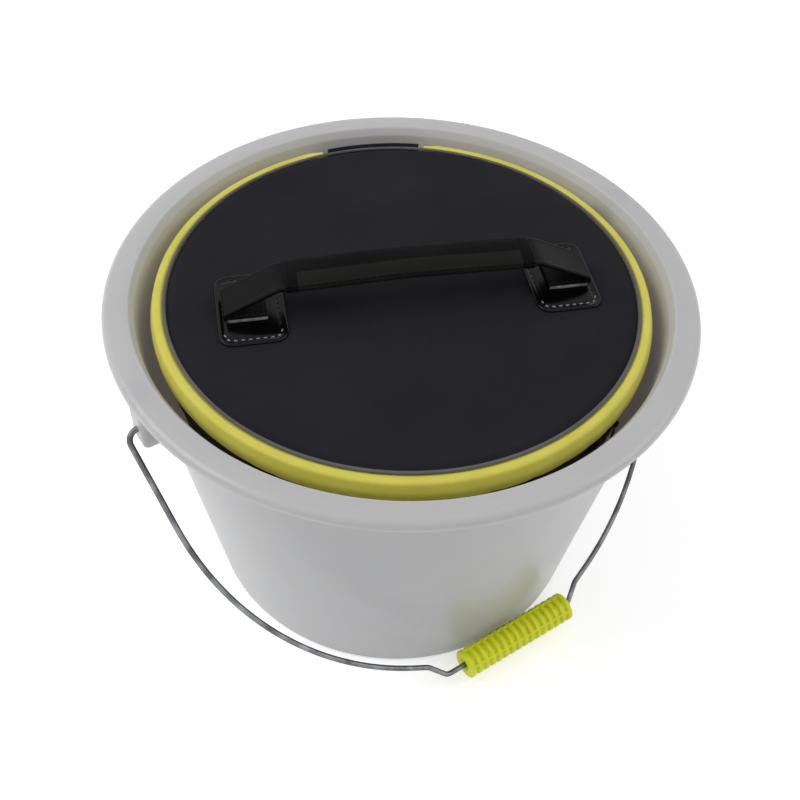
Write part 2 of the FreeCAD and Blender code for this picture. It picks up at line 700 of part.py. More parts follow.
# Strap: flat tail on each patch, folded back at the outer end and carried over the crown
half_strap = [
    ("strap_start", "strap_low"), ("strap_reach", "strap_low"), ("strap_reach", "strap_fold_height"),
    ("strap_shoulder", "strap_shoulder_height"),
]
half_bends = ["strap_fold_bend", "strap_fold_bend", "strap_shoulder_bend"]
crown = [("0", "strap_crown_height")]
strap = new_body("handle_strap")
path = new_sketch(strap, "XZ_Plane")
strap_bends = half_bends + ["strap_crown_bend"] + half_bends[::-1]
bent_path(path, half_strap + crown + mirrored(half_strap), strap_bends)
section = new_sketch(strap, "YZ_Plane", lift="strap_start")
outline(section, [
    ("-strap_half", "patch_top"), ("strap_half", "patch_top"), ("strap_half", "strap_low_top"),
    ("-strap_half", "strap_low_top"),
])
sweep_along(strap, section, path)
strap.Placement = handle_place
parts.append(strap)

# Padded sleeve round the middle of the strap, on the same arch
sleeve_side = [("sleeve_half", "sleeve_end")]
sleeve = new_body("handle_sleeve")
path = new_sketch(sleeve, "XZ_Plane")
bent_path(path, sleeve_side + crown + mirrored(sleeve_side), ["strap_crown_bend"])
section = new_sketch(sleeve, "YZ_Plane")
tilt = FreeCAD.Rotation(FreeCAD.Vector(1, 0, 0), value("sleeve_tilt_angle"))
sleeve_start = FreeCAD.Vector(0, value("sleeve_end"), value("sleeve_half"))
section.AttachmentOffset = FreeCAD.Placement(sleeve_start, tilt)
for across, up in (("sleeve_half_width", "sleeve_half_height"), ("sleeve_slot_half", "sleeve_slot_height")):
    outline(section, [("-" + across, "-" + up), (across, "-" + up), (across, up), ("-" + across, up)])
sweep_along(sleeve, section, path)
sleeve.Placement = handle_place
parts.append(sleeve)

# Zip sliders, hooked over the bowl's coil, and the pulls that hang on their studs
for side in ("right", "left"):
    place = turned_by(insert_turn + value("slider_%s_angle" % side))
    slider = new_body("zip_slider_" + side)
    sketch = new_sketch(slider, "XZ_Plane")
    outline(sketch, [
        ("slider_inner", "slider_bottom"), ("slider_inner_face", "slider_bottom"),
        ("slider_inner_face", "web_bottom"), ("slider_outer_face", "web_bottom"),
        ("slider_outer_face", "slider_bottom"), ("slider_outer", "slider_bottom"),
        ("slider_outer", "slider_top"), ("slider_outer_face", "slider_top"),
        ("slider_outer_face", "web_top"), ("slider_inner", "web_top"),
    ])
    extrude(slider, sketch, "slider_length", both=True)
    for lift, radius, length in (("slider_outer", "stud_radius", "stud_length"),
                                 ("stud_end", "stud_head_radius", "stud_head")):
        sketch = new_sketch(slider, "YZ_Plane", lift=lift)
        disc(sketch, "0", "pull_pivot", radius)
        extrude(slider, sketch, length)
    slider.Placement = place
    parts.append(slider)

    pull = new_body("zip_pull_" + side)
    sketch = new_sketch(pull, "YZ_Plane", lift="pull_back")
    outline(sketch, [
        ("-pull_eye", "pull_bottom"), ("pull_eye", "pull_bottom"), ("pull_eye", "pull_top"),
        ("-pull_eye", "pull_top"),
    ])
    tab = extrude(pull, sketch, "pull_thickness")
    round_edges(pull, tab, "pull_round", edge_along(FreeCAD.Vector(1, 0, 0)))
    sketch = new_sketch(pull, "YZ_Plane", lift="pull_back")
    disc(sketch, "0", "pull_pivot", "pull_hole_radius")
    extrude(pull, sketch, "pull_thickness", kind="Pocket", reverse=True)
    pull.Placement = place
    parts.append(pull)

# Check everything before any file is written
doc.recompute()
failed = [item.Name for item in doc.Objects if "Invalid" in item.State or "Error" in item.State]
failed += [part.Label for part in parts if part.Shape.isNull() or not part.Shape.isValid()]
if failed:
    raise RuntimeError("these objects failed: " + ", ".join(failed))
os.makedirs("parts", exist_ok=True)
for part in parts:
    part.Shape.exportStep("parts/%s.step" % part.Label)
    print("%-20s %10.1f mm3 %d solid" % (part.Label, part.Shape.Volume, len(part.Shape.Solids)))
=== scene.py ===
"""Bait bucket with a zip-lidded bowl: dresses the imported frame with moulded, sewn and metal surfaces.

Shapes are worked out in millimetres on numpy grids and go into their meshes in metres. The bowl, its
lid and the handle are drawn with the hinge along +Y and turned about Z to the angle they stand at.
"""

import logging
import math
from dataclasses import dataclass
from enum import Enum

import bmesh
import bpy
import numpy as np
from mathutils import Matrix, Vector


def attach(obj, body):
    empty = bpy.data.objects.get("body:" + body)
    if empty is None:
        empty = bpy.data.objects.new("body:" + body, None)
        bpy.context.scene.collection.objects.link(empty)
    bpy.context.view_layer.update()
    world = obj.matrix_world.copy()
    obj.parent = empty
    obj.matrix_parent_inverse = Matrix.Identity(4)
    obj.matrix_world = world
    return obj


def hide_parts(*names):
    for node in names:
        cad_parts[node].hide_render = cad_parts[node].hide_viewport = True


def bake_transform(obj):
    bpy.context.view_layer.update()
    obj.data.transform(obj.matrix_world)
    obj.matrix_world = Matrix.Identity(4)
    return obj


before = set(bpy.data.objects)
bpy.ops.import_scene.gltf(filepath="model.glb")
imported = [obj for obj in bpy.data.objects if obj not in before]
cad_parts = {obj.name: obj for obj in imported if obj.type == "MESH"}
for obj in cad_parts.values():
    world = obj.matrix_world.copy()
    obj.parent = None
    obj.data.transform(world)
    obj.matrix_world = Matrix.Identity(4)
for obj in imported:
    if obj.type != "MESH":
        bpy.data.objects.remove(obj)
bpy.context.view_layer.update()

LOG = logging.getLogger("bait_bucket")
MM = 0.001
INSERT_TURN = -25.0
HINGE_HALF_ANGLE = 13.8
SHARP_ANGLE = math.radians(38.0)
WELD_DISTANCE = 0.004 * MM
UP = np.array([0.0, 0.0, 1.0])
WHITE = (1.0, 1.0, 1.0, 1.0)
Array = np.ndarray
Piece = bpy.types.Object
Tree = bpy.types.NodeTree
Socket = bpy.types.NodeSocket
Inputs = dict[str | int, object]
Point = tuple[float, float]
Colour = tuple[float, float, float]


# ---------------------------------------------------------------- grids and meshes


def eased(t: Array) -> Array:
    """Ease from 0 to 1: 3t^2 - 2t^3 of t held between 0 and 1."""
    t = np.clip(t, 0.0, 1.0)
    return t * t * (3.0 - 2.0 * t)


def rounded(corners: list[Point], radii: list[float], steps: int = 6, closed: bool = True) -> Array:
    """Round a polygon: each corner becomes an arc that touches its two sides.

    Args:
        corners: corner points in order.
        radii: one radius for each corner, 0 for a sharp one.
        steps: how many steps an arc has.
        closed: whether the last corner joins the first; an open line keeps its two ends.

    Returns:
        Points along the outline, shape (n, 2).
    """
    points = np.asarray(corners, float)
    ends = () if closed else (0, len(points) - 1)
    runs = []
    for k, (corner, radius) in enumerate(zip(points, radii)):
        if radius == 0.0 or k in ends:
            runs.append(corner[None])
            continue
        back, ahead = unit(points[k - 1] - corner), unit(points[(k + 1) % len(points)] - corner)
        half = math.acos(float(np.clip(back @ ahead, -1.0, 1.0))) / 2.0
        middle = corner + unit(back + ahead) * radius / math.sin(half)
        first, last = (corner + way * radius / math.tan(half) - middle for way in (back, ahead))
        start = math.atan2(first[1], first[0])
        turn = (math.atan2(last[1], last[0]) - start + math.pi) % (2.0 * math.pi) - math.pi
        angle = start + turn * np.linspace(0.0, 1.0, steps + 1)
        runs.append(middle + radius * grid_of(np.cos(angle), np.sin(angle)))
    return np.concatenate(runs)


def resampled(line: Array, gap: float) -> Array:
    """Space points evenly by length along an open line.

    Args:
        line: points, shape (n, d).
        gap: about how far apart the new points are.

    Returns:
        Evenly spaced points, shape (m, d).
    """
    run = np.concatenate([[0.0], np.cumsum(np.linalg.norm(np.diff(line, axis=0), axis=1))])
    where = np.linspace(0.0, run[-1], max(int(round(run[-1] / gap)), 2) + 1)
    return np.stack([np.interp(where, run, line[:, k]) for k in range(line.shape[1])], axis=1)


def unit(vectors: Array) -> Array:
    """Scale vectors to length 1."""
    return vectors / np.linalg.norm(vectors, axis=-1, keepdims=True)


def headings(line: Array) -> Array:
    """Unit tangents along a line of points, by central differences."""
    return unit(np.gradient(line, axis=0))


def turned(points: Array, degrees: float = INSERT_TURN) -> Array:
    """Turn points about Z."""
    c, s = math.cos(math.radians(degrees)), math.sin(math.radians(degrees))
    return points @ np.array([[c, s, 0.0], [-s, c, 0.0], [0.0, 0.0, 1.0]])


def full_turn(count: int) -> Array:
    """Angles all the way round, without the last one that repeats the first."""
    return np.linspace(0.0, 2.0 * math.pi, count, endpoint=False)


def ring_angles(count: int, gap: float = HINGE_HALF_ANGLE) -> Array:
    """Angles, in radians, round the lid from one side of the hinge to the other, a gap in degrees from its middle."""
    return np.radians(np.linspace(90.0 + gap, 450.0 - gap, count) + INSERT_TURN)


def grid_of(*axes: Array | float) -> Array:
    """Join coordinates into points, each one spread over the shape of them all."""
    return np.stack(np.broadcast_arrays(*axes), axis=-1)


def polar(angles: Array, radius: Array | float, z: Array | float) -> Array:
    """Points round Z: (r cos a, r sin a, z)."""
    return grid_of(np.cos(angles) * radius, np.sin(angles) * radius, z)


def raised(plan: Array, z: float) -> Array:
    """Lift plan points (x, y) to a height."""
    return grid_of(plan[:, 0], plan[:, 1], z)


def lathe(profile: Array, angles: Array) -> Array:
    """Turn an (r, z) profile, or one for each of m angles, about Z: a grid of points, shape (m, n, 3)."""
    return polar(angles[:, None], profile[..., 0], profile[..., 1])


def carried(path: Array, across: Array, upward: Array, section: Array) -> Array:
    """Carry a section, or one for each path point, along a path: p + a * across + b * upward for its points (a, b)."""
    return path[:, None] + section[..., 0:1] * across[:, None] + section[..., 1:2] * upward[:, None]


def plane_frame(line: Array) -> tuple[Array, Array, Array]:
    """Directions along a line in an upright plane.

    Args:
        line: points (x, z), shape (n, 2).

    Returns:
        The line in space, its normals in the plane and its directions across it, each of shape (n, 3).
    """
    way, level = headings(line), np.zeros(len(line))
    path = np.column_stack([line[:, 0], level, line[:, 1]])
    normal = np.column_stack([-way[:, 1], level, way[:, 0]])
    return path, normal, np.tile([0.0, 1.0, 0.0], (len(line), 1))


def oval(radius: float, count: int, power: float = 2.0) -> Array:
    """Closed superellipse |x/r|^p + |y/r|^p = 1, sampled at even angles.

    Args:
        radius: half of its width.
        count: how many points.
        power: p; 2 is a circle and more is squarer.

    Returns:
        Points, shape (count, 2).
    """
    angle = full_turn(count)
    edge = grid_of(np.cos(angle), np.sin(angle))
    return radius * np.sign(edge) * np.abs(edge) ** (2.0 / power)


def arc_uv(grid: Array) -> Array:
    """UV of a grid: mean length along each of its two directions.

    Args:
        grid: points in millimetres, shape (..., nu, nv, 3).

    Returns:
        UV in metres, shape (..., nu, nv, 2).
    """
    du = np.linalg.norm(np.diff(grid, axis=-3), axis=-1).mean(axis=-1)
    dv = np.linalg.norm(np.diff(grid, axis=-2), axis=-1).mean(axis=-2)
    zero = np.zeros(du.shape[:-1] + (1,))
    u, v = (np.concatenate([zero, np.cumsum(run, axis=-1)], axis=-1) for run in (du, dv))
    return grid_of(u[..., :, None], v[..., None, :]) * MM


@dataclass
class Grid:
    """A surface as a grid of points, or a stack of equal grids.

    Attributes:
        points: points in millimetres, shape (..., nu, nv, 3).
        loop_u: whether the last row joins the first.
        loop_v: whether the last column joins the first.
        caps: whether the first and last rows are closed with a flat face.
        flat_uv: whether the UV is the plan view, as for cloth laid flat.
        finish: index of the piece's finish, or one for each face, shape (faces_u, faces_v).
        light_and_wear_amount: how much each point takes its finish's rubbed colour, which carries painted shade,
            painted highlights and edge wear, shape (nu, nv).
    """

    points: Array
    loop_u: bool = False
    loop_v: bool = False
    caps: bool = False
    flat_uv: bool = False
    finish: int | Array = 0
    light_and_wear_amount: float | Array = 0.0

    def closed(self) -> tuple[Array, Array]:
        """Repeat the joining row and column.

        Returns:
            Points and wear of the closed grid.
        """
        grid, light_and_wear_amount = self.points, np.broadcast_to(self.light_and_wear_amount, self.points.shape[:-1])
        for axis, joined in ((-2, self.loop_u), (-1, self.loop_v)):
            if joined:
                grid = np.concatenate([grid, np.take(grid, [0], axis - 1)], axis=axis - 1)
                light_and_wear_amount = np.concatenate([light_and_wear_amount, np.take(light_and_wear_amount, [0], axis)], axis=axis)
        return grid, light_and_wear_amount


def mesh_of(name: str, grids: list[Grid]) -> bpy.types.Mesh:
    """Join grids into one mesh, weld its seams and poles and turn its faces outwards.

    Args:
        name: the mesh's name.
        grids: the surfaces, each closed by itself or with its neighbours.

    Returns:
        The finished mesh, in metres.
    """
    points, faces, uvs, light_and_wear_amounts, finishes = [], [], [], [], []
    start = 0
    for part in grids:
        grid, light_and_wear_amount = part.closed()
        ids = np.arange(light_and_wear_amount.size).reshape(light_and_wear_amount.shape) + start
        corners = (ids[..., :-1, :-1], ids[..., 1:, :-1], ids[..., 1:, 1:], ids[..., :-1, 1:])
        quads = np.stack(corners, axis=-1).reshape(-1, 4).tolist()
        marks = np.broadcast_to(part.finish, corners[0].shape).ravel().tolist()
        if part.caps:
            rims = ids[..., :-1] if part.loop_v else ids
            for rim in (rims[..., 0, ::-1], rims[..., -1, :]):
                quads += rim.reshape(-1, rims.shape[-1]).tolist()
        faces += quads
        points.append(grid.reshape(-1, 3) * MM)
        uvs.append((grid[..., :2] * MM if part.flat_uv else arc_uv(grid)).reshape(-1, 2))
        light_and_wear_amounts.append(light_and_wear_amount.reshape(-1))
        finishes += marks + marks[:1] * (len(quads) - len(marks))
        start += ids.size
    mesh = bpy.data.meshes.new(name)
    mesh.from_pydata(np.concatenate(points), [], faces)
    loops = np.empty(len(mesh.loops), np.int32)
    mesh.loops.foreach_get("vertex_index", loops)
    mesh.uv_layers.new(name="UVMap").data.foreach_set("uv", np.concatenate(uvs)[loops].ravel().astype(np.float32))
    painted_light_and_wear = mesh.attributes.new("light_and_wear_amount", "FLOAT", "POINT")
    painted_light_and_wear.data.foreach_set("value", np.concatenate(light_and_wear_amounts).astype(np.float32))
    mesh.polygons.foreach_set("material_index", np.array(finishes, np.int32))
    work = bmesh.new()
    work.from_mesh(mesh)
    bmesh.ops.remove_doubles(work, verts=work.verts, dist=WELD_DISTANCE)
    bmesh.ops.recalc_face_normals(work, faces=work.faces)
    work.to_mesh(mesh)
    work.free()
    mesh.polygons.foreach_set("use_smooth", np.ones(len(mesh.polygons), bool))
    mesh.set_sharp_from_angle(angle=SHARP_ANGLE)
    return mesh


def linked(name: str, data: bpy.types.ID) -> Piece:
    """Make an object and link it to the scene.

    Args:
        name: the object's name.
        data: its mesh, lamp or camera.

    Returns:
        The object.
    """
    made = bpy.data.objects.new(name, data)
    bpy.context.scene.collection.objects.link(made)
    return made


def bare_piece(name: str, grids: list[Grid]) -> Piece:
    """Make an object of grids, without finish or body."""
    return linked(name, mesh_of(name, grids))


def dressed(piece: Piece, finishes: list["Finish"], *replaced: str) -> Piece:
    """Give a piece its finishes and the CAD nodes it stands for.

    Args:
        piece: the piece.
        finishes: its finishes, in the order of its grids' finish indexes.
        replaced: names of the CAD nodes that it replaces.

    Returns:
        The piece.
    """
    for finish in finishes:
        piece.data.materials.append(finish.material())
    if replaced:
        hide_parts(*replaced)
    LOG.info("piece %s: %d faces", piece.name, len(piece.data.polygons))
    return piece


def hung(name: str, grids: list[Grid], finishes: list["Finish"], body: str, *replaced: str) -> Piece:
    """Make a piece of grids, let it ride on a body and dress it.

    Args:
        name: the piece's name.
        grids: its surfaces.
        finishes: its finishes.
        body: the body that it moves with.
        replaced: names of the CAD nodes that it replaces.

    Returns:
        The piece.
    """
    piece = bare_piece(name, grids)
    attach(piece, body)
    return dressed(piece, finishes, *replaced)


class Stitch(Enum):
    """The stitches: length, gap to the next one and half thickness of the thread, in millimetres."""

    BINDING = (2.6, 1.2, 0.3)
    HINGE = (2.6, 1.2, 0.32)
    PADDED = (2.8, 1.3, 0.3)
    PATCH = (3.0, 1.5, 0.45)
    PATCH_FRONT = (2.6, 1.9, 0.5)
    BOX = (2.4, 1.0, 0.3)


def stitches(line: Array, up: Array, stitch: Stitch, finish: int = 1) -> Grid:
    """Row of stitches: a capsule swollen in the middle, repeated along a line.

    Args:
        line: points the thread follows, shape (n, 3).
        up: vectors out of the cloth, shape (n, 3), or one for all.
        stitch: the kind of stitch.
        finish: index of the finish in the piece.

    Returns:
        The stitches as one stack of grids.
    """
    length, gap, thick = stitch.value
    spots = resampled(np.concatenate([line, np.broadcast_to(up, line.shape)], axis=1), length + gap)
    along, normal = headings(spots[:, :3]), unit(spots[:, 3:])
    t, a = np.linspace(-1.0, 1.0, 7)[:, None], full_turn(6)
    swell = thick * np.sqrt(np.clip(1.0 - t**4, 0.0, 1.0))
    local = grid_of(0.5 * length * t, swell * np.cos(a), swell * np.sin(a) - 0.5 * thick * t * t)
    axes = np.stack([along, np.cross(normal, along), normal], axis=1)
    return Grid(spots[:, None, None, :3] + np.einsum("uvk,nkd->nuvd", local, axes), loop_v=True, finish=finish)


# ---------------------------------------------------------------- finishes


def linear(colour: Colour) -> tuple[float, float, float, float]:
    """Turn an sRGB colour into the linear one that a shader takes.

    Args:
        colour: red, green and blue of 0 to 255.

    Returns:
        Linear red, green and blue, and an alpha of 1.
    """
    c = np.asarray(colour, float) / 255.0
    out = np.where(c <= 0.04045, c / 12.92, ((c + 0.055) / 1.055) ** 2.4)
    return (*map(float, out), 1.0)


def fill(tree: Tree, node: bpy.types.Node, inputs: Inputs) -> None:
    """Set or link a node's inputs.

    Args:
        tree: the node tree.
        node: the node.
        inputs: a value or a socket for each, by name or index.
    """
    for key, value in inputs.items():
        if isinstance(value, Socket):
            tree.links.new(value, node.inputs[key])
        else:
            node.inputs[key].default_value = value


def add_node(tree: Tree, kind: str, inputs: Inputs | None = None, **settings: object) -> bpy.types.Node:
    """Add a node, set its options and fill or link its inputs.

    Args:
        tree: the node tree.
        kind: the node's type.
        inputs: a value or a socket for each input, by name or index.
        settings: the node's own options.

    Returns:
        The node.
    """
    node = tree.nodes.new(kind)
    for key, value in settings.items():
        setattr(node, key, value)
    fill(tree, node, inputs or {})
    return node


def calc(tree: Tree, operation: str, *values: object) -> Socket:
    """Add a Math node on values or sockets and return its result."""
    return add_node(tree, "ShaderNodeMath", dict(enumerate(values)), operation=operation).outputs[0]


def mixed(tree: Tree, factor: object, first: object, second: object) -> Socket:
    """Mix two colours by a factor and return the colour."""
    return add_node(tree, "ShaderNodeMix", {0: factor, 6: first, 7: second}, data_type="RGBA").outputs[2]


def spread(tree: Tree, value: Socket, low: float, high: float, to_low: float = 0.0, to_high: float = 1.0) -> Socket:
    """Map a value's range to another, held at both ends, and return the result."""
    inputs = {"Value": value, "From Min": low, "From Max": high, "To Min": to_low, "To Max": to_high}
    return add_node(tree, "ShaderNodeMapRange", inputs, clamp=True).outputs[0]


def noise(tree: Tree, where: Socket, scale: Socket, detail: float, roughness: float = 0.5) -> Socket:
    """Add a noise texture and return its value."""
    inputs = {"Vector": where, "Scale": scale, "Detail": detail, "Roughness": roughness}
    return add_node(tree, "ShaderNodeTexNoise", inputs).outputs[0]


def arch(tree: Tree, count: Socket) -> Socket:
    """Row of arches, one for each whole count: |sin(pi n)|."""
    return calc(tree, "ABSOLUTE", calc(tree, "SINE", calc(tree, "MULTIPLY", count, math.pi)))


def mottle(tree: Tree, where: Socket, scale: Socket) -> Socket:
    """Soft cloudy tone: four octaves of noise."""
    return spread(tree, noise(tree, where, scale, 4.0, 0.55), 0.3, 0.7)


def grain(tree: Tree, where: Socket, scale: Socket) -> Socket:
    """Moulded skin: rounded cells with fine noise over them.

    Args:
        tree: the group's tree.
        where: coordinates.
        scale: cells in a metre.

    Returns:
        The skin's height.
    """
    cells = add_node(tree, "ShaderNodeTexVoronoi", {"Vector": where, "Scale": scale}, feature="SMOOTH_F1").outputs[0]
    fine = noise(tree, where, calc(tree, "MULTIPLY", scale, 2.3), 2.0)
    return calc(tree, "MULTIPLY_ADD", fine, 0.45, calc(tree, "MULTIPLY", cells, 0.7))


def weave(tree: Tree, where: Socket, threads: Socket) -> Socket:
    """Plain weave: arched warp and weft threads that take turns on top, by a checker of threads.

    Args:
        tree: the group's tree.
        where: coordinates.
        threads: threads in a metre.

    Returns:
        The cloth's height.
    """
    split = add_node(tree, "ShaderNodeSeparateXYZ", {0: where})
    counts = [calc(tree, "MULTIPLY", split.outputs[axis], threads) for axis in (0, 1)]
    parity = calc(tree, "PINGPONG", calc(tree, "ADD", *(calc(tree, "FLOOR", count) for count in counts)), 1.0)
    over = calc(tree, "MULTIPLY", arch(tree, counts[0]), parity)
    under = calc(tree, "MULTIPLY", arch(tree, counts[1]), calc(tree, "SUBTRACT", 1.0, parity))
    return calc(tree, "ADD", over, under)


def ribs(tree: Tree, where: Socket, count: Socket, slant: Socket) -> Socket:
    """Twisted ribs: slanted arches along the length, as on cord, webbing and binding tape.

    Args:
        tree: the group's tree.
        where: coordinates.
        count: ribs in a metre.
        slant: how far they lean, as a share of their run.

    Returns:
        The ribs' height.
    """
    split = add_node(tree, "ShaderNodeSeparateXYZ", {0: where})
    slid = calc(tree, "MULTIPLY_ADD", split.outputs[1], slant, split.outputs[0])
    return arch(tree, calc(tree, "MULTIPLY", slid, count))


def scratches(tree: Tree, where: Socket, scale: Socket, amount: Socket) -> Socket:
    """Hair scratches: thin crests of stretched noise, in two directions.

    Args:
        tree: the group's tree.
        where: coordinates.
        scale: the noise's scale.
        amount: how strongly they show.

    Returns:
        The scratches' mask.
    """
    crests = []
    for stretch in ((1.0, 0.08, 0.5), (0.06, 0.8, 0.7)):
        inputs = {"Vector": where, "Rotation": (0.3, 0.2, 0.7), "Scale": stretch}
        moved = add_node(tree, "ShaderNodeMapping", inputs).outputs[0]
        crests.append(spread(tree, noise(tree, moved, scale, 3.0, 0.7), 0.66, 0.74))
    return calc(tree, "MULTIPLY", calc(tree, "MAXIMUM", *crests), amount)


def light_and_wear_mask(tree: Tree, where: Socket, light_and_wear_amount: Socket, scale: Socket) -> Socket:
    """Mask of the piece's own wear value, broken up by noise: it lays on painted shade, painted highlights and edge
    wear.
    """
    return calc(tree, "MULTIPLY", light_and_wear_amount, spread(tree, noise(tree, where, scale, 5.0, 0.65), 0.35, 0.65, 0.25, 1.0))


class Effect(Enum):
    """The shared effects, each one a shader node group."""

    MOTTLE = "soft_mottle"
    GRAIN = "skin_grain"
    WEAVE = "plain_weave"
    RIBS = "twisted_ribs"
    SCRATCH = "hair_scratches"
    LIGHT_AND_WEAR = "painted_light_wear_mask"

    def group(self) -> Tree:
        """The effect's node group, built the first time it is asked for.

        Returns:
            A group that takes a Vector and named values, and puts out one value.
        """
        found = bpy.data.node_groups.get(self.value)
        if found:
            return found
        maker, inputs, output = EFFECT_MAKERS[self]
        tree = bpy.data.node_groups.new(self.value, "ShaderNodeTree")
        tree.interface.new_socket("Vector", in_out="INPUT", socket_type="NodeSocketVector")
        for name in inputs:
            tree.interface.new_socket(name, in_out="INPUT", socket_type="NodeSocketFloat")
        tree.interface.new_socket(output, in_out="OUTPUT", socket_type="NodeSocketFloat")
        given, out = tree.nodes.new("NodeGroupInput").outputs, tree.nodes.new("NodeGroupOutput").inputs
        tree.links.new(maker(tree, *(given[name] for name in ("Vector", *inputs))), out[output])
        return tree

    def place(self, tree: Tree, **inputs: object) -> Socket:
        """Add the effect to a material's tree, fill its inputs and return its output."""
        return add_node(tree, "ShaderNodeGroup", inputs, node_tree=self.group()).outputs[0]


EFFECT_MAKERS = {
    Effect.MOTTLE: (mottle, ("Scale",), "Tone"),
    Effect.GRAIN: (grain, ("Scale",), "Height"),
    Effect.WEAVE: (weave, ("Threads",), "Height"),
    Effect.RIBS: (ribs, ("Ribs", "Slant"), "Height"),
    Effect.SCRATCH: (scratches, ("Scale", "Amount"), "Mask"),
    Effect.LIGHT_AND_WEAR: (light_and_wear_mask, ("Wear", "Scale"), "Mask"),
}
SCRATCH_SCALE, LIGHT_AND_WEAR_SCALE = 60.0, 160.0
BUMP_STRENGTH, RELIEF_TONE = 0.6, 0.45
SCRATCH_GAIN, SCRATCH_LIFT, SCRATCH_ROUGHNESS = 1.12, 14.0, 0.2
EDGE_SHADE, EDGE_FACING = 0.25, (0.25, 0.85)
SCATTER_RADIUS, SCATTER_SCALE = (1.0, 0.93, 0.86), 0.008


class Skin(Enum):
    """How a finish's relief is drawn."""

    GRAINED = "grained"
    WOVEN = "woven"
    RIBBED = "ribbed"


@dataclass(frozen=True)
class Finish:
    """A finish: colours in sRGB, relief in millimetres.

    Attributes:
        name: the material's name.
        slot: the record's material slot; not used.
        shade: the darker of its two colours.
        tint: the lighter one.
        skin: how the relief is drawn.
        pitch: size of a grain cell, or of a thread or rib.
        depth: depth of the relief.
        slant: how far ribs lean, as a share of their run.
        cloud: size of the cloudy tone.
        rough: roughness where the tone is light and where it is dark.
        metal: metallic value.
        sheen: weight of cloth sheen.
        glow: weight of light scattered under the skin.
        scratched: how strongly hair scratches show.
        painted_light_and_wear: colour laid on by the piece's wear value: painted shade on the bucket's inner wall and
            in the grip's pockets, a painted highlight on the strap's tail edges, and a lighter rolled rim on the
            patches.
        specular: level of the plain gloss.
        edge: weight of a painted dark reflection, darkening the colour where the surface turns away from the view.
    """

    name: str
    slot: str
    shade: Colour
    tint: Colour
    skin: Skin = Skin.GRAINED
    pitch: float = 0.8
    depth: float = 0.05
    slant: float = 0.0
    cloud: float = 40.0
    rough: Point = (0.45, 0.55)
    metal: float = 0.0
    sheen: float = 0.0
    glow: float = 0.0
    scratched: float = 0.0
    painted_light_and_wear: Colour | None = None
    specular: float = 0.5
    edge: float = 0.0

    def material(self) -> bpy.types.Material:
        """The finish as a material, built the first time it is asked for.

        Returns:
            The material.
        """
        found = bpy.data.materials.get(self.name)
        if found:
            return found
        material = bpy.data.materials.new(self.name)
        material.use_nodes = True
        tree = material.node_tree
        coords = tree.nodes.new("ShaderNodeTexCoord").outputs
        place = coords["Object"]
        tone = Effect.MOTTLE.place(tree, Vector=place, Scale=1.0 / (self.cloud * MM))
        height = self.relief(tree, place, coords["UV"])
        # Painted shade in the relief: woven and ribbed skins are darker in their troughs, lighter on their crests.
        if self.skin is not Skin.GRAINED:
            tone = calc(tree, "MULTIPLY_ADD", height, RELIEF_TONE, calc(tree, "MULTIPLY", tone, 1.0 - RELIEF_TONE))
        colour = mixed(tree, tone, linear(self.shade), linear(self.tint))
        roughness = spread(tree, tone, 0.0, 1.0, self.rough[1], self.rough[0])
        if self.scratched:
            mask = Effect.SCRATCH.place(tree, Vector=place, Scale=SCRATCH_SCALE, Amount=self.scratched)
            lifted = tuple(min(255.0, c * SCRATCH_GAIN + SCRATCH_LIFT) for c in self.tint)
            colour = mixed(tree, mask, colour, linear(lifted))
            roughness = calc(tree, "MULTIPLY_ADD", mask, SCRATCH_ROUGHNESS, roughness)
        # Painted light and wear: the wear value lays the rubbed colour on, as painted shade, painted highlights and
        # lighter rims.
        if self.painted_light_and_wear:
            light_and_wear_value = add_node(tree, "ShaderNodeAttribute", attribute_name="light_and_wear_amount").outputs["Fac"]
            mask = Effect.LIGHT_AND_WEAR.place(tree, Vector=place, Wear=light_and_wear_value, Scale=LIGHT_AND_WEAR_SCALE)
            colour = mixed(tree, mask, colour, linear(self.painted_light_and_wear))
        # Painted dark reflection: the colour darkens where the surface turns away from the view.
        if self.edge:
            facing = add_node(tree, "ShaderNodeLayerWeight", {"Blend": 0.5}).outputs["Facing"]
            painted_edge_reflection = tuple(EDGE_SHADE * c for c in self.shade)
            colour = mixed(tree, spread(tree, facing, *EDGE_FACING, 0.0, self.edge), colour, linear(painted_edge_reflection))
        relief = {"Strength": BUMP_STRENGTH, "Distance": self.depth * MM, "Height": height}
        fill(tree, tree.nodes["Principled BSDF"], {
            "Base Color": colour, "Roughness": roughness, "Metallic": self.metal, "Sheen Weight": self.sheen,
            "Normal": add_node(tree, "ShaderNodeBump", relief).outputs[0], "Specular IOR Level": self.specular,
            "Subsurface Weight": self.glow, "Subsurface Radius": SCATTER_RADIUS, "Subsurface Scale": SCATTER_SCALE,
        })
        return material

    def relief(self, tree: Tree, place: Socket, laid: Socket) -> Socket:
        """Height of the finish's fine relief.

        Args:
            tree: the material's tree.
            place: object coordinates.
            laid: the piece's UV.

        Returns:
            The height's socket.
        """
        count = 1.0 / (self.pitch * MM)
        if self.skin is Skin.WOVEN:
            return Effect.WEAVE.place(tree, Vector=laid, Threads=count)
        if self.skin is Skin.RIBBED:
            return Effect.RIBS.place(tree, Vector=laid, Ribs=count, Slant=self.slant)
        return Effect.GRAIN.place(tree, Vector=place, Scale=count)


def thread(name: str, slot: str, shade: Colour, tint: Colour, rough: Point, specular: float = 0.5) -> Finish:
    """Finish of a twisted sewing thread.

    Args:
        name: the material's name.
        slot: the record's material slot.
        shade: the darker of its two colours.
        tint: the lighter one.
        rough: roughness where the tone is light and where it is dark.
        specular: level of the plain gloss.

    Returns:
        The finish.
    """
    return Finish(
        name, slot, shade, tint, skin=Skin.RIBBED, pitch=0.35, depth=0.05, slant=1.0, rough=rough, specular=specular,
    )


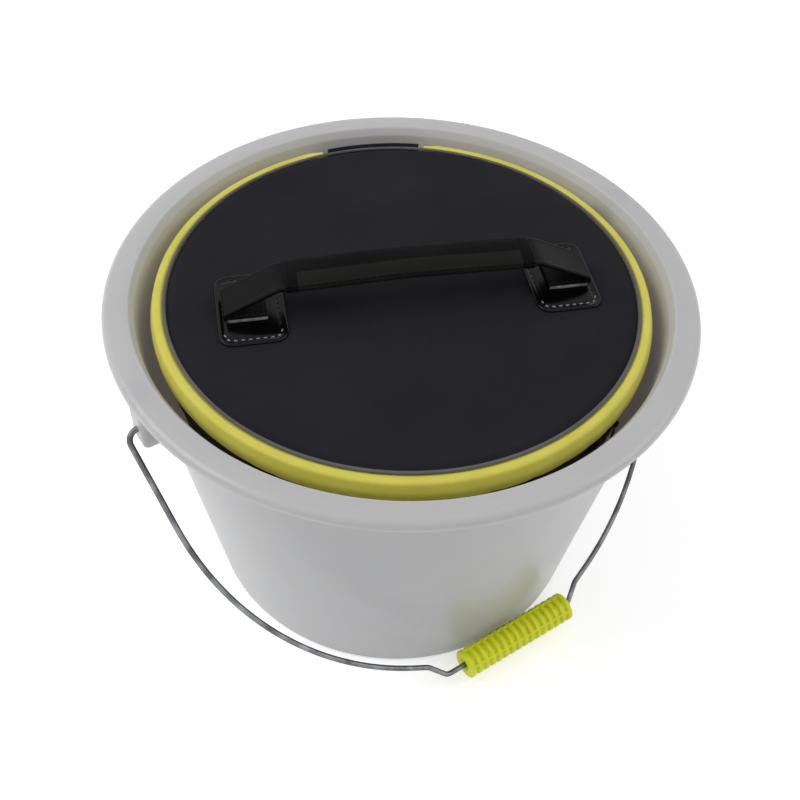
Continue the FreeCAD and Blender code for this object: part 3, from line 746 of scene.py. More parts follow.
# The rubbed colour is a painted warm shade with lime bounce light on the bucket's inner wall.
BUCKET_PLASTIC = Finish(
    "bucket_plastic_finish", "bucket_plastic", (196, 196, 198), (200, 200, 202), pitch=2.6, depth=0.02, cloud=120.0,
    rough=(0.28, 0.31), glow=0.8, painted_light_and_wear=(208, 193, 178),
)
# Its edge value paints a dark reflection along the wire's sides.
BAIL_STEEL = Finish(
    "galvanised_wire", "bail_steel", (82, 83, 86), (150, 152, 155), pitch=1.1, depth=0.05, cloud=12.0,
    rough=(0.28, 0.42), metal=1.0, scratched=0.3, edge=0.75,
)
# The rubbed colour is painted shade in the grip's pockets.
GRIP_PLASTIC = Finish(
    "lime_grip", "grip_plastic", (232, 238, 14), (240, 246, 24), pitch=1.2, depth=0.04, cloud=16.0,
    rough=(0.38, 0.48), glow=0.3, painted_light_and_wear=(206, 208, 4),
)
BOWL_PLASTIC = Finish(
    "black_bowl", "bowl_plastic", (27, 27, 29), (35, 35, 38), pitch=1.0, depth=0.12, rough=(0.5, 0.62),
    scratched=0.12,
)
LID_FABRIC = Finish(
    "lid_cloth", "lid_fabric", (34, 34, 38), (44, 44, 49), skin=Skin.WOVEN, pitch=0.55, depth=0.06, cloud=60.0,
    rough=(0.68, 0.78), specular=0.05,
)
LID_BOARD = Finish("lid_foam", "lid_board", (58, 58, 60), (72, 72, 74), pitch=1.6, depth=0.3, rough=(0.85, 0.95))
LID_LINING = Finish(
    "lining_cloth", "lid_lining", (52, 53, 56), (68, 69, 72), skin=Skin.WOVEN, pitch=0.45, depth=0.05,
    rough=(0.4, 0.55), specular=0.4,
)
PIPING = Finish(
    "grey_piping", "piping", (78, 77, 79), (112, 110, 111), skin=Skin.RIBBED, pitch=1.1, depth=0.14, slant=0.7,
    rough=(0.45, 0.55), specular=0.25,
)
BAND_FABRIC = Finish(
    "lime_band_cloth", "band_fabric", (218, 209, 72), (238, 229, 104), skin=Skin.WOVEN, pitch=0.6, depth=0.06,
    cloud=24.0, rough=(0.5, 0.62), sheen=0.12, specular=0.4,
)
BINDING_TAPE = Finish(
    "binding_tape", "binding_tape", (24, 24, 26), (40, 40, 42), skin=Skin.RIBBED, pitch=0.7, depth=0.14,
    rough=(0.6, 0.72),
)
ZIP_TAPE = Finish(
    "zip_tape_cloth", "zip_tape", (22, 22, 24), (38, 38, 40), skin=Skin.RIBBED, pitch=0.6, depth=0.1, slant=0.5,
    rough=(0.6, 0.72),
)
ZIP_COIL = Finish("zip_coil_nylon", "zip_coil", (24, 24, 25), (36, 36, 38), pitch=0.4, depth=0.02, rough=(0.28, 0.4))
ZIP_METAL = Finish(
    "zip_black_metal", "zip_metal", (30, 30, 32), (46, 46, 48), pitch=0.9, depth=0.03, cloud=6.0,
    rough=(0.3, 0.42), metal=0.6, scratched=0.3,
)
HINGE_FABRIC = Finish(
    "hinge_cloth", "hinge_fabric", (18, 18, 20), (28, 28, 31), skin=Skin.WOVEN, pitch=0.7, depth=0.1,
    rough=(0.6, 0.72), specular=0.08,
)
PATCH_PLASTIC = Finish(
    "patch_rubber", "patch_plastic", (3, 3, 4), (8, 8, 9), pitch=0.9, depth=0.04, cloud=14.0,
    rough=(0.16, 0.26), painted_light_and_wear=(12, 12, 12), specular=0.16,
)
# The rubbed colour is a painted highlight along the edges of the strap's tails.
STRAP_WEBBING = Finish(
    "strap_coated", "strap_webbing", (8, 8, 9), (17, 17, 17), skin=Skin.RIBBED, pitch=1.0, depth=0.08,
    rough=(0.42, 0.54), painted_light_and_wear=(150, 150, 146), specular=0.07,
)
SLEEVE_COVER = Finish(
    "sleeve_cloth", "sleeve_cover", (22, 22, 21), (33, 33, 31), skin=Skin.WOVEN, pitch=0.6, depth=0.06, cloud=30.0,
    rough=(0.6, 0.7), specular=0.06,
)
# Painted shade: the sleeve's cloth made darker, for its back third and its hems.
SLEEVE_SHADE_AND_HEMS = Finish(
    "sleeve_painted_shade_and_hems", "sleeve_cover", (7, 7, 8), (14, 14, 15), skin=Skin.WOVEN, pitch=0.8, depth=0.08, cloud=30.0,
    rough=(0.6, 0.72), specular=0.05,
)
DARK_THREAD = thread("dark_thread", "patch_plastic", (16, 16, 17), (34, 34, 34), (0.4, 0.5), 0.2)
# Painted highlight: the patches' thread, made pale along their front edges.
HIGHLIGHT_THREAD = thread("thread_painted_highlight", "patch_plastic", (104, 104, 104), (166, 166, 164), (0.3, 0.4))
LIME_THREAD = thread("lime_thread", "band_fabric", (158, 152, 48), (188, 182, 70), (0.45, 0.55))


# ---------------------------------------------------------------- bucket and bail


@dataclass
class Bucket:
    """Moulded bucket: floor, tapered wall, rolled rim and two hollow ears that hold the bail."""

    height: float = 233.0
    base_radius: float = 135.0
    top_radius: float = 169.0
    wall: float = 2.6
    floor: float = 3.0
    rim_radius: float = 185.0
    rim_thickness: float = 3.0
    rim_roll: float = 5.0
    skirt_bottom: float = 227.5
    foot_recess: float = 1.0
    foot_ring: Point = (17.0, 14.0)
    lip: float = 168.8
    flare: Point = (165.8, 227.5)
    ear_bottom: float = 195.0
    ear_face: float = 183.0
    ear_back: float = 179.5
    ear_half_width: float = 9.0
    ear_cheek: float = 3.0
    ear_root: float = 1.4
    ear_rounds: Point = (3.2, 1.2)
    ear_top_gap: float = 0.6
    pivot_height: float = 205.0
    pivot_bore: float = 1.9
    bore_past: float = 3.0
    # Painted warm shade on the inner wall: where it starts to rise, and where it fades out below the rim.
    inner_shade_rise: Point = (120.0, 60.0)
    inner_shade_fade: Point = (229.0, 14.0)

    def wall_radius(self, z: float) -> float:
        """Radius of the wall's outer face at a height: a straight line from base to top."""
        return self.base_radius + (self.top_radius - self.base_radius) * z / self.height

    def section(self) -> Array:
        """Half section, from the middle of the underside, up the outside and back to the middle inside.

        Returns:
            Points (r, z), shape (n, 2).
        """
        under = self.height - self.rim_thickness
        skirt = self.rim_radius - self.rim_thickness
        corners = [
            (0.0, self.foot_recess), (self.base_radius - self.foot_ring[0], self.foot_recess),
            (self.base_radius - self.foot_ring[1], 0.0), (self.base_radius, 0.0), (self.wall_radius(under), under),
            (skirt, under), (skirt, self.skirt_bottom),
            (self.rim_radius, self.skirt_bottom), (self.rim_radius, self.height), (self.lip, self.height), self.flare,
            (self.wall_radius(self.floor) - self.wall, self.floor), (0.0, self.floor),
        ]
        radii = [0.0, 1.2, 1.2, 4.0, 8.0, 1.4, 0.9, 0.4, self.rim_roll, 1.6, 4.0, 6.0, 0.0]
        return rounded(corners, radii, steps=8, closed=False)

    def ear_section(self, z: float, inset: float) -> Array:
        """Plan of the right ear at a height: a U of cheeks and face plate, rooted in the wall.

        Args:
            z: the height.
            inset: how far the plan is drawn in.

        Returns:
            Closed outline, shape (n, 3).
        """
        root = self.wall_radius(z) - self.ear_root
        out, face = self.ear_half_width - inset, self.ear_face - inset
        inner, back = self.ear_half_width - self.ear_cheek + inset, self.ear_back + inset
        corners = [
            (root, -out), (face, -out), (face, out), (root, out), (root, inner), (back, inner), (back, -inner),
            (root, -inner),
        ]
        radii = [radius for curve in self.ear_rounds for radius in (0.0, curve, curve, 0.0)]
        return raised(rounded(corners, radii), z)

    def ear(self) -> Array:
        """Right ear: its plan carried from the open foot up into the rim, with a softened lower edge.

        Returns:
            Grid of points, a row for each level.
        """
        top = self.height - self.rim_thickness - self.ear_top_gap - self.ear_bottom
        levels = [(0.0, 0.7), (0.2, 0.25), (0.7, 0.0), (12.0, 0.0), (24.0, 0.0), (top, 0.0)]
        return np.stack([self.ear_section(self.ear_bottom + rise, inset) for rise, inset in levels])

    def bore(self) -> Array:
        """Round bar along X that cuts the pivot hole through an ear's face plate.

        Returns:
            Grid of points, shape (2, n, 3).
        """
        ring = oval(self.pivot_bore, 32)
        x = np.array([self.ear_back - self.bore_past, self.ear_face + self.bore_past])
        return grid_of(x[:, None], ring[:, 0], ring[:, 1] + self.pivot_height)

    def build(self) -> None:
        """Make the bucket's body, with painted warm shade on its inner wall, and its two pierced ears."""
        section = self.section()
        z = section[:, 1]
        inside = np.arange(len(section)) > np.argmax(z)
        # Painted warm shade: on the inside only, rising with height and fading out below the rim.
        rise = 0.3 + 0.7 * eased((z - self.inner_shade_rise[0]) / self.inner_shade_rise[1])
        painted_inner_shade = inside * rise * eased((self.inner_shade_fade[0] - z) / self.inner_shade_fade[1])
        body = Grid(lathe(section, full_turn(288)), loop_u=True, light_and_wear_amount=painted_inner_shade[None])
        hung("bucket_moulding", [body], [BUCKET_PLASTIC], "bucket", "bucket_shell")
        for name, way in (("bucket_ear_right", 0.0), ("bucket_ear_left", 180.0)):
            ear = bare_piece(name, [Grid(turned(self.ear(), way), loop_v=True, caps=True)])
            bar = bare_piece("pivot_bore_cutter", [Grid(turned(self.bore(), way), loop_v=True, caps=True)])
            cut = ear.modifiers.new("pivot_bore", "BOOLEAN")
            cut.operation, cut.solver, cut.object = "DIFFERENCE", "EXACT", bar
            pierced = bpy.data.meshes.new_from_object(ear.evaluated_get(bpy.context.evaluated_depsgraph_get()))
            ear.modifiers.clear()
            ear.data = pierced
            bpy.data.objects.remove(bar)
            pierced.set_sharp_from_angle(angle=SHARP_ANGLE)
            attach(ear, "bucket")
            dressed(ear, [BUCKET_PLASTIC])


@dataclass
class Bail:
    """Bent wire bail with peened ends, hanging forward by the wall, and its ribbed grip."""

    pivot_height: float = 205.0
    lean: float = 37.765
    wire: float = 1.8
    wire_step: float = 1.6
    reach: float = 190.5
    corner: Point = (171.5, 68.5)
    joggle: Point = (63.5, 12.2)
    run: float = 52.5
    bends: tuple[float, ...] = (0.0, 7.0, 205.2, 6.0, 6.0)
    depth: float = 241.989
    head_radius: float = 3.0
    head_inner: float = 175.9
    head_thickness: float = 3.0
    head_dome: tuple[Point, ...] = (
        (0.0, 0.0), (0.0, 0.55), (0.1, 0.8), (0.3, 0.95), (0.75, 1.0), (1.0, 0.92), (1.0, 0.0),
    )
    grip_length: float = 88.0
    grip_radius: float = 10.2
    grip_shift: float = 5.5
    rib_height: float = 1.4
    rib_count: int = 16
    rib_foot: float = 3.9
    rib_crest: float = 2.6
    ridge_width: float = 2.0
    ridge_count: int = 4
    ridge_crown: float = 0.12
    grip_bore: float = 2.1

    def hung_points(self, flat: Array) -> Array:
        """Lean points of the bail's own plane about the pivots.

        Args:
            flat: points (x, out of the plane, drop), shape (..., 3).

        Returns:
            Points in the part's frame.
        """
        c, s = math.cos(math.radians(self.lean)), math.sin(math.radians(self.lean))
        x, n, d = flat[..., 0], flat[..., 1], flat[..., 2]
        return grid_of(x, n * c + d * s, self.pivot_height - n * s + d * c)

    def route(self) -> Array:
        """Middle line of the wire in the bail's plane: out of the right ear, down, across and up again.

        Returns:
            Points (x, drop), shape (n, 2).
        """
        rises = [(x, rise - self.depth) for x, rise in (self.corner, self.joggle, (self.run, 0.0))]
        right = [(self.head_inner, 0.0), (self.reach, 0.0), *rises]
        corners = right + [(-x, d) for x, d in reversed(right)]
        return resampled(rounded(corners, self.bends + self.bends[::-1], steps=40, closed=False), self.wire_step)

    def build_wire(self) -> None:
        """Wire: a circle carried along the route, with a domed head turned on each end."""
        path, normal, level = plane_frame(self.route())
        wire = carried(path, normal, level, oval(self.wire, 20))
        grids = [Grid(self.hung_points(wire), loop_v=True, caps=True)]
        along, out = np.array(self.head_dome).T[..., None]
        x, r = self.head_inner + self.head_thickness * along, self.head_radius * out
        a = full_turn(24)
        for way in (1.0, -1.0):
            head = grid_of(way * x, r * np.cos(a), r * np.sin(a))
            grids.append(Grid(self.hung_points(head), loop_v=True))
        hung("bail_bent_wire", grids, [BAIL_STEEL], "bail", "bail_wire")

    def grip_skin(self) -> tuple[Array, Array]:
        """Grip: radius over length and angle, the greater of ring ribs and long ridges above the core.

        Returns:
            The grid of points, and how far each one stands out, from 0 in a pocket to 1 on a rib.
        """
        half = self.grip_length / 2.0
        last = half - self.rib_foot / 2.0
        pitch = 2.0 * last / (self.rib_count - 1)
        x = np.linspace(-half + 1.0, half - 1.0, 261)
        step = self.ridge_width / self.grip_radius
        quarter = 2.0 * math.pi / self.ridge_count
        near = np.array([-0.95, -0.7, -0.5, -0.25, 0.0, 0.25, 0.5, 0.7, 0.95]) * step
        far = np.linspace(1.25 * step, quarter - 1.25 * step, 18)
        a = (np.concatenate([near, far])[None] + quarter * np.arange(self.ridge_count)[:, None]).ravel()
        off = np.abs((x + last + pitch / 2.0) % pitch - pitch / 2.0)
        rib = eased((self.rib_foot / 2.0 + 0.2 - off) / ((self.rib_foot - self.rib_crest) / 2.0 + 0.35))
        rib = np.where(np.abs(x) > last, 1.0, rib)[:, None]
        side = np.abs((a + quarter / 2.0) % quarter - quarter / 2.0) * self.grip_radius
        ridge = eased((self.ridge_width / 2.0 + 0.5 - side) / 0.8)
        stand = np.maximum(rib, ridge)
        crown = self.ridge_crown * (rib * ridge)
        radius = self.grip_radius - self.rib_height * (1.0 - stand) - self.ridge_crown + crown
        turn = np.linspace(0.0, math.pi / 2.0, 6)[1:]
        lip_r = self.grip_radius - 1.0 - self.ridge_crown + np.cos(turn)
        end_x = np.concatenate([half - 1.0 + np.sin(turn), half - np.array([0.0, 0.9, 1.6, 2.0])])
        end_r = np.concatenate([lip_r, self.grip_bore + np.array([2.4, 1.6, 0.4, 0.0])])
        whole_x = np.concatenate([-end_x[::-1], x, end_x])[:, None]
        round_ends = np.tile(end_r[:, None], (1, len(a)))
        whole_r = np.concatenate([round_ends[::-1], radius, round_ends])
        flat = grid_of(whole_x + self.grip_shift, whole_r * np.sin(a), whole_r * np.cos(a) - self.depth)
        tall = np.concatenate([np.ones_like(round_ends), stand, np.ones_like(round_ends)])
        return self.hung_points(flat), tall

    def build_grip(self) -> None:
        """Make the grip as one closed skin, through its bore."""
        points, stand = self.grip_skin()
        # Wear of 1 minus stand paints shade into the pockets between ribs and ridges.
        skin = Grid(points, loop_u=True, loop_v=True, light_and_wear_amount=1.0 - stand)
        hung("ribbed_grip", [skin], [GRIP_PLASTIC], "grip", "bail_grip")

    def build(self) -> None:
        """Make the wire, then the grip on it."""
        self.build_wire()
        self.build_grip()


# ---------------------------------------------------------------- bowl and zip


@dataclass
class Bowl:
    """Black welded bowl that stands in the bucket, with its binding, its half of the zip and the hinge."""

    bottom: float = 3.3
    base_radius: float = 124.04
    collar_radius: float = 150.03
    collar_bottom: float = 188.0
    collar_top: float = 203.0
    wall: float = 3.2
    bead: tuple[Point, ...] = ((7.0, 0.0), (8.2, 0.5), (9.8, 0.5), (11.0, 0.0))
    lap_rise: float = 0.6
    lap_half_angle: float = 4.0
    lap_ease: float = 0.9
    lap_reach: Point = (16.0, 184.0)
    binding_low: float = 191.0
    binding_high: float = 199.0
    binding_thick: float = 1.4
    binding_seam: float = 2.0
    seam_inset: float = 0.4
    tape_low: float = 199.0
    tape_high: float = 205.6
    tape_thick: float = 1.0
    coil_height: float = 1.6
    coil_half_width: float = 1.6
    coil_turns: int = 500
    coil_thread: float = 0.34
    strip_half_angle: float = 12.4
    strip_low: float = 191.0
    strip_bend: float = 226.0
    strip_high: float = 230.9
    strip_end: Point = (148.2, 229.7)
    strip_step: float = 0.5

    def section(self) -> Array:
        """Half section: floor, tapered wall with a weld bead above the foot, collar and rolled lip.

        Returns:
            Points (r, z), shape (n, 2).
        """
        rise = (self.collar_radius - self.base_radius) / (self.collar_bottom - self.bottom)
        bead = [(self.base_radius + rise * h + out, self.bottom + h) for h, out in self.bead]
        inner, floor = self.collar_radius - self.wall, self.bottom + self.wall
        corners = [
            (0.0, self.bottom), (self.base_radius, self.bottom), *bead, (self.collar_radius, self.collar_bottom),
            (self.collar_radius, self.collar_top), (inner, self.collar_top), (inner, self.collar_bottom),
            (self.base_radius + rise * self.wall - self.wall, floor), (0.0, floor),
        ]
        radii = [0.0, 5.0, 0.3, 0.4, 0.4, 0.3, 6.0, 1.4, 1.4, 6.0, 2.5, 0.0]
        return rounded(corners, radii, closed=False)

    def build_shell(self) -> None:
        """Make the bowl, with an overlapped weld seam up its back."""
        angles = full_turn(240)
        section = self.section()
        r, z = section[:, 0], section[:, 1]
        off = (np.degrees(angles) - 90.0 - INSERT_TURN + 180.0) % 360.0 - 180.0
        lap = self.lap_rise * eased((self.lap_half_angle - np.abs(off)) / self.lap_ease)
        mid = (z > self.lap_reach[0]) & (z < self.lap_reach[1])
        half = self.wall / 2.0
        outer = r > np.interp(z, [0.0, 190.0], [self.base_radius - half, self.collar_radius - half])
        shell = Grid(lathe(grid_of(r + lap[:, None] * (mid & outer), z), angles), loop_u=True)
        hung("bowl_welded_shell", [shell], [BOWL_PLASTIC], "insert", "bowl_shell")

    def tape(self, low: float, high: float, thick: float) -> Grid:
        """Flat tape round the bowl: a thin rounded section turned from one side of the hinge to the other.

        Args:
            low: height of its lower edge.
            high: height of its upper edge.
            thick: its thickness.

        Returns:
            The tape as a closed grid.
        """
        inner, outer = self.collar_radius, self.collar_radius + thick
        section = rounded([(inner, low), (outer, low), (outer, high), (inner, high)], [0.3 * thick] * 4, steps=3)
        return Grid(lathe(section, ring_angles(260)), loop_v=True, caps=True)

    def coil(self, low: float) -> Grid:
        """Zip coil: a fine tube carried along a flattened helix, r = R + a cos t, z = m + b sin t.

        Args:
            low: height of its underside.

        Returns:
            The coil as one tube.
        """
        half_r, half_z = self.coil_half_width - self.coil_thread, self.coil_height / 2.0 - self.coil_thread
        t = np.linspace(0.0, 2.0 * math.pi * self.coil_turns, self.coil_turns * 10 + 1)
        sweep = np.interp(t, [t[0], t[-1]], ring_angles(2))
        radius = self.collar_radius + self.tape_thick / 2.0 + half_r * np.cos(t)
        path = polar(sweep, radius, low + self.coil_height / 2.0 + half_z * np.sin(t))
        tangent = headings(path)
        normal = unit(np.cross(tangent, grid_of(-np.sin(sweep), np.cos(sweep), 0.0)))
        tube = carried(path, normal, np.cross(tangent, normal), oval(self.coil_thread, 5))
        return Grid(tube, loop_v=True, caps=True)

    def build_edge(self) -> None:
        """Make the binding with its seam, the lower zip tape and its coil."""
        angles = ring_angles(400, HINGE_HALF_ANGLE + self.seam_inset)
        line = polar(angles, self.collar_radius + self.binding_thick, self.binding_low + self.binding_seam)
        seam = stitches(line, polar(angles, 1.0, 0.0), Stitch.BINDING)
        binding = [self.tape(self.binding_low, self.binding_high, self.binding_thick), seam]
        hung("bowl_binding_tape", binding, [BINDING_TAPE, DARK_THREAD], "insert", "bowl_binding")
        tape = self.tape(self.tape_low, self.tape_high, self.tape_thick)
        hung("lower_zip_tape", [tape], [ZIP_TAPE], "insert", "zip_tape_lower")
        hung("lower_zip_coil", [self.coil(self.tape_high)], [ZIP_COIL], "insert", "zip_coil_lower")

    def build_hinge(self) -> None:
        """Make the hinge cloth: a strip up the back that leans in to the piping."""
        middle = self.collar_radius + 1.0
        corners = [
            (middle, self.strip_low), (middle + 1.2, self.strip_bend), (middle + 1.2, self.strip_high - 0.6),
            (middle - 0.9, self.strip_high), self.strip_end,
        ]
        line = resampled(rounded(corners, [0.0, 5.0, 1.2, 1.0, 0.0], steps=10, closed=False), self.strip_step)
        way = headings(line)
        side = 0.5 * np.column_stack([way[:, 1], -way[:, 0]])
        section = np.concatenate([line + side, (line - side)[::-1]])
        spread_half = math.radians(self.strip_half_angle)
        angles = math.radians(90.0 + INSERT_TURN) + np.linspace(-spread_half, spread_half, 41)
        grids = [Grid(lathe(section, angles), loop_v=True, caps=True)]
        ring = polar(angles, 1.0, 0.0)[2:-2]
        for z in (self.strip_low + 2.2, self.strip_low + 5.0, 222.0):
            grids.append(stitches(ring * (middle + 0.7) + z * UP, ring, Stitch.HINGE))
        piece = bare_piece("hinge_cloth_strip", grids)
        dressed(piece, [HINGE_FABRIC, DARK_THREAD], "hinge_panel")
        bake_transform(piece)

    def build(self) -> None:
        """Make the shell, its sewn edge and the hinge."""
        self.build_shell()
        self.build_edge()
        self.build_hinge()


# ---------------------------------------------------------------- lid and handle


@dataclass
class Lid:
    """Sewn lid: top skin, lining, piping, lime padded band and the upper half of the zip."""

    radius: float = 146.63
    lining_low: float = 222.4
    lining_high: float = 223.4
    skin_low: float = 228.4
    top: float = 230.4
    piping_radius: float = 147.73
    piping_tube: float = 1.1
    piping_height: float = 229.4
    band_notch: float = 149.03
    band_under: float = 228.1
    band_foot_radius: float = 152.63
    band_foot: float = 212.4
    band_inner: float = 151.03
    band_top: float = 228.5
    band_face: tuple[Point, ...] = ((150.4, 229.3), (154.8, 229.2), (157.0, 221.5), (156.6, 214.8))
    band_step: float = 0.74
    pleats: float = 47.0
    pleat_depth: float = 0.34
    top_pleat_depth: float = 0.12
    end_pull: float = 0.16
    coil_low: float = 208.4
    tape_low: float = 210.0
    tape_high: float = 222.4

    def disc(self, low: float, high: float, edge_drop: float) -> Grid:
        """Thin disc of cloth: rings of radius r, gently waved, that dips at its edge.

        Args:
            low: height of its underside.
            high: height of its upper side.
            edge_drop: how far the edge dips to its seam.

        Returns:
            Both sides as one grid, from the middle of the top to the middle of the underside.
        """
        angles = full_turn(180)[:, None]
        r = self.radius * np.concatenate([np.linspace(0.0, 0.95, 34), np.linspace(0.96, 0.998, 10)])
        x, y = r * np.cos(angles), r * np.sin(angles)
        wave = np.sin(x / 23.0 + 0.7) * np.sin(y / 31.0 + 1.9) + 0.5 * np.sin((x + 1.7 * y) / 17.0)
        dip = edge_drop * eased((r / self.radius - 0.968) / 0.03)
        upper = grid_of(x, y, high + 0.12 * wave * (1.0 - eased((r - 130.0) / 14.0)) - dip)
        return Grid(np.concatenate([upper, grid_of(x, y, low)[:, ::-1]], axis=1), loop_u=True, flat_uv=True)

    def build_skins(self) -> None:
        """Make the top skin and the lining, each a sheet stretched over the board."""
        top = hung("lid_top_cloth", [self.disc(self.skin_low, self.top, 1.5)], [LID_FABRIC], "lid", "lid_top_panel")
        under = self.disc(self.lining_low, self.lining_high, 0.0)
        lining = hung("lid_lining_cloth", [under], [LID_LINING], "lid", "lid_lining")

    def build_piping(self) -> None:
        """Make the piping: a round cord turned about the lid's edge."""
        section = oval(self.piping_tube, 16) + np.array([self.piping_radius, self.piping_height])
        cord = Grid(lathe(section, full_turn(300)), loop_u=True, loop_v=True)
        hung("lid_piping_cord", [cord], [PIPING], "lid", "lid_piping")

    def band_section(self, angles: Array) -> Array:
        """Closed sections of the padded band, whose bowed face gathers into pleats towards its foot.

        The pleats are (1/2 + 1/2 sin(47a + 2 sin 5a))^5 of the angle a.

        Args:
            angles: m angles in radians.

        Returns:
            Sections (r, z), shape (m, n, 2).
        """
        corners = [(self.band_notch, self.band_top), *self.band_face, (self.band_foot_radius, self.band_foot)]
        outline = rounded(corners, [0.0, 1.0, 2.4, 12.0, 2.4, 0.0], steps=8, closed=False)
        face = resampled(outline, self.band_step)
        s = np.linspace(0.0, 1.0, len(face))
        way = headings(face)
        out = np.column_stack([-way[:, 1], way[:, 0]])
        a = np.degrees(angles)[:, None]
        pleat = (0.5 + 0.5 * np.sin(np.radians(a * self.pleats) + 2.0 * np.sin(np.radians(a * 5.0)))) ** 5
        patchy = 0.35 + 0.65 * (0.5 + 0.5 * np.sin(np.radians(a * 3.0 + 40.0)))
        low = eased((s - 0.5) / 0.35) * eased((1.0 - s) / 0.06)
        high = eased(s / 0.05) * eased((0.22 - s) / 0.18)
        tuck = self.pleat_depth * pleat * patchy * low + self.top_pleat_depth * pleat[::-1] * high
        rows = face[None] - out * tuck[..., None]
        inner = np.array([
            (self.band_inner, self.band_foot), (self.band_inner, self.tape_high), (self.radius, self.tape_high),
            (self.radius, self.band_under), (self.band_notch, self.band_under),
        ])
        return np.concatenate([rows, np.broadcast_to(inner, (len(angles), *inner.shape))], axis=1)

    def build_band(self) -> None:
        """Make the lime band as one closed padded ring with sewn ends, and the stitches along its foot."""
        angles = ring_angles(720)
        sections = self.band_section(angles)
        core = sections.mean(axis=1, keepdims=True)
        from_end = np.minimum(np.arange(len(angles)), np.arange(len(angles))[::-1])
        pull = 1.0 - self.end_pull * (1.0 - eased(from_end / 9.0))
        ring = Grid(lathe(core + (sections - core) * pull[:, None, None], angles), loop_v=True, caps=True)
        row = ring_angles(500, HINGE_HALF_ANGLE + 1.2)
        foot = self.band_section(row)[:, -8]
        seam = stitches(polar(row, foot[:, 0] + 0.05, foot[:, 1]), polar(row, 1.0, -0.25), Stitch.PADDED)
        band = hung("lime_padded_band", [ring, seam], [BAND_FABRIC, LIME_THREAD], "lid", "lid_side_band")

    def build_zip(self, bowl: Bowl) -> None:
        """Make the upper zip tape and coil, from the bowl's own tape and coil shapes.

        Args:
            bowl: the bowl.
        """
        tape = bowl.tape(self.tape_low, self.tape_high, bowl.tape_thick)
        hung("upper_zip_tape", [tape], [ZIP_TAPE], "lid", "zip_tape_upper")
        hung("upper_zip_coil", [bowl.coil(self.coil_low)], [ZIP_COIL], "lid", "zip_coil_upper")

    def build(self, bowl: Bowl) -> None:
        """Make the lid's skins, piping, band and zip.

        Args:
            bowl: the bowl that the lid is zipped to.
        """
        self.build_skins()
        self.build_piping()
        self.build_band()
        self.build_zip(bowl)


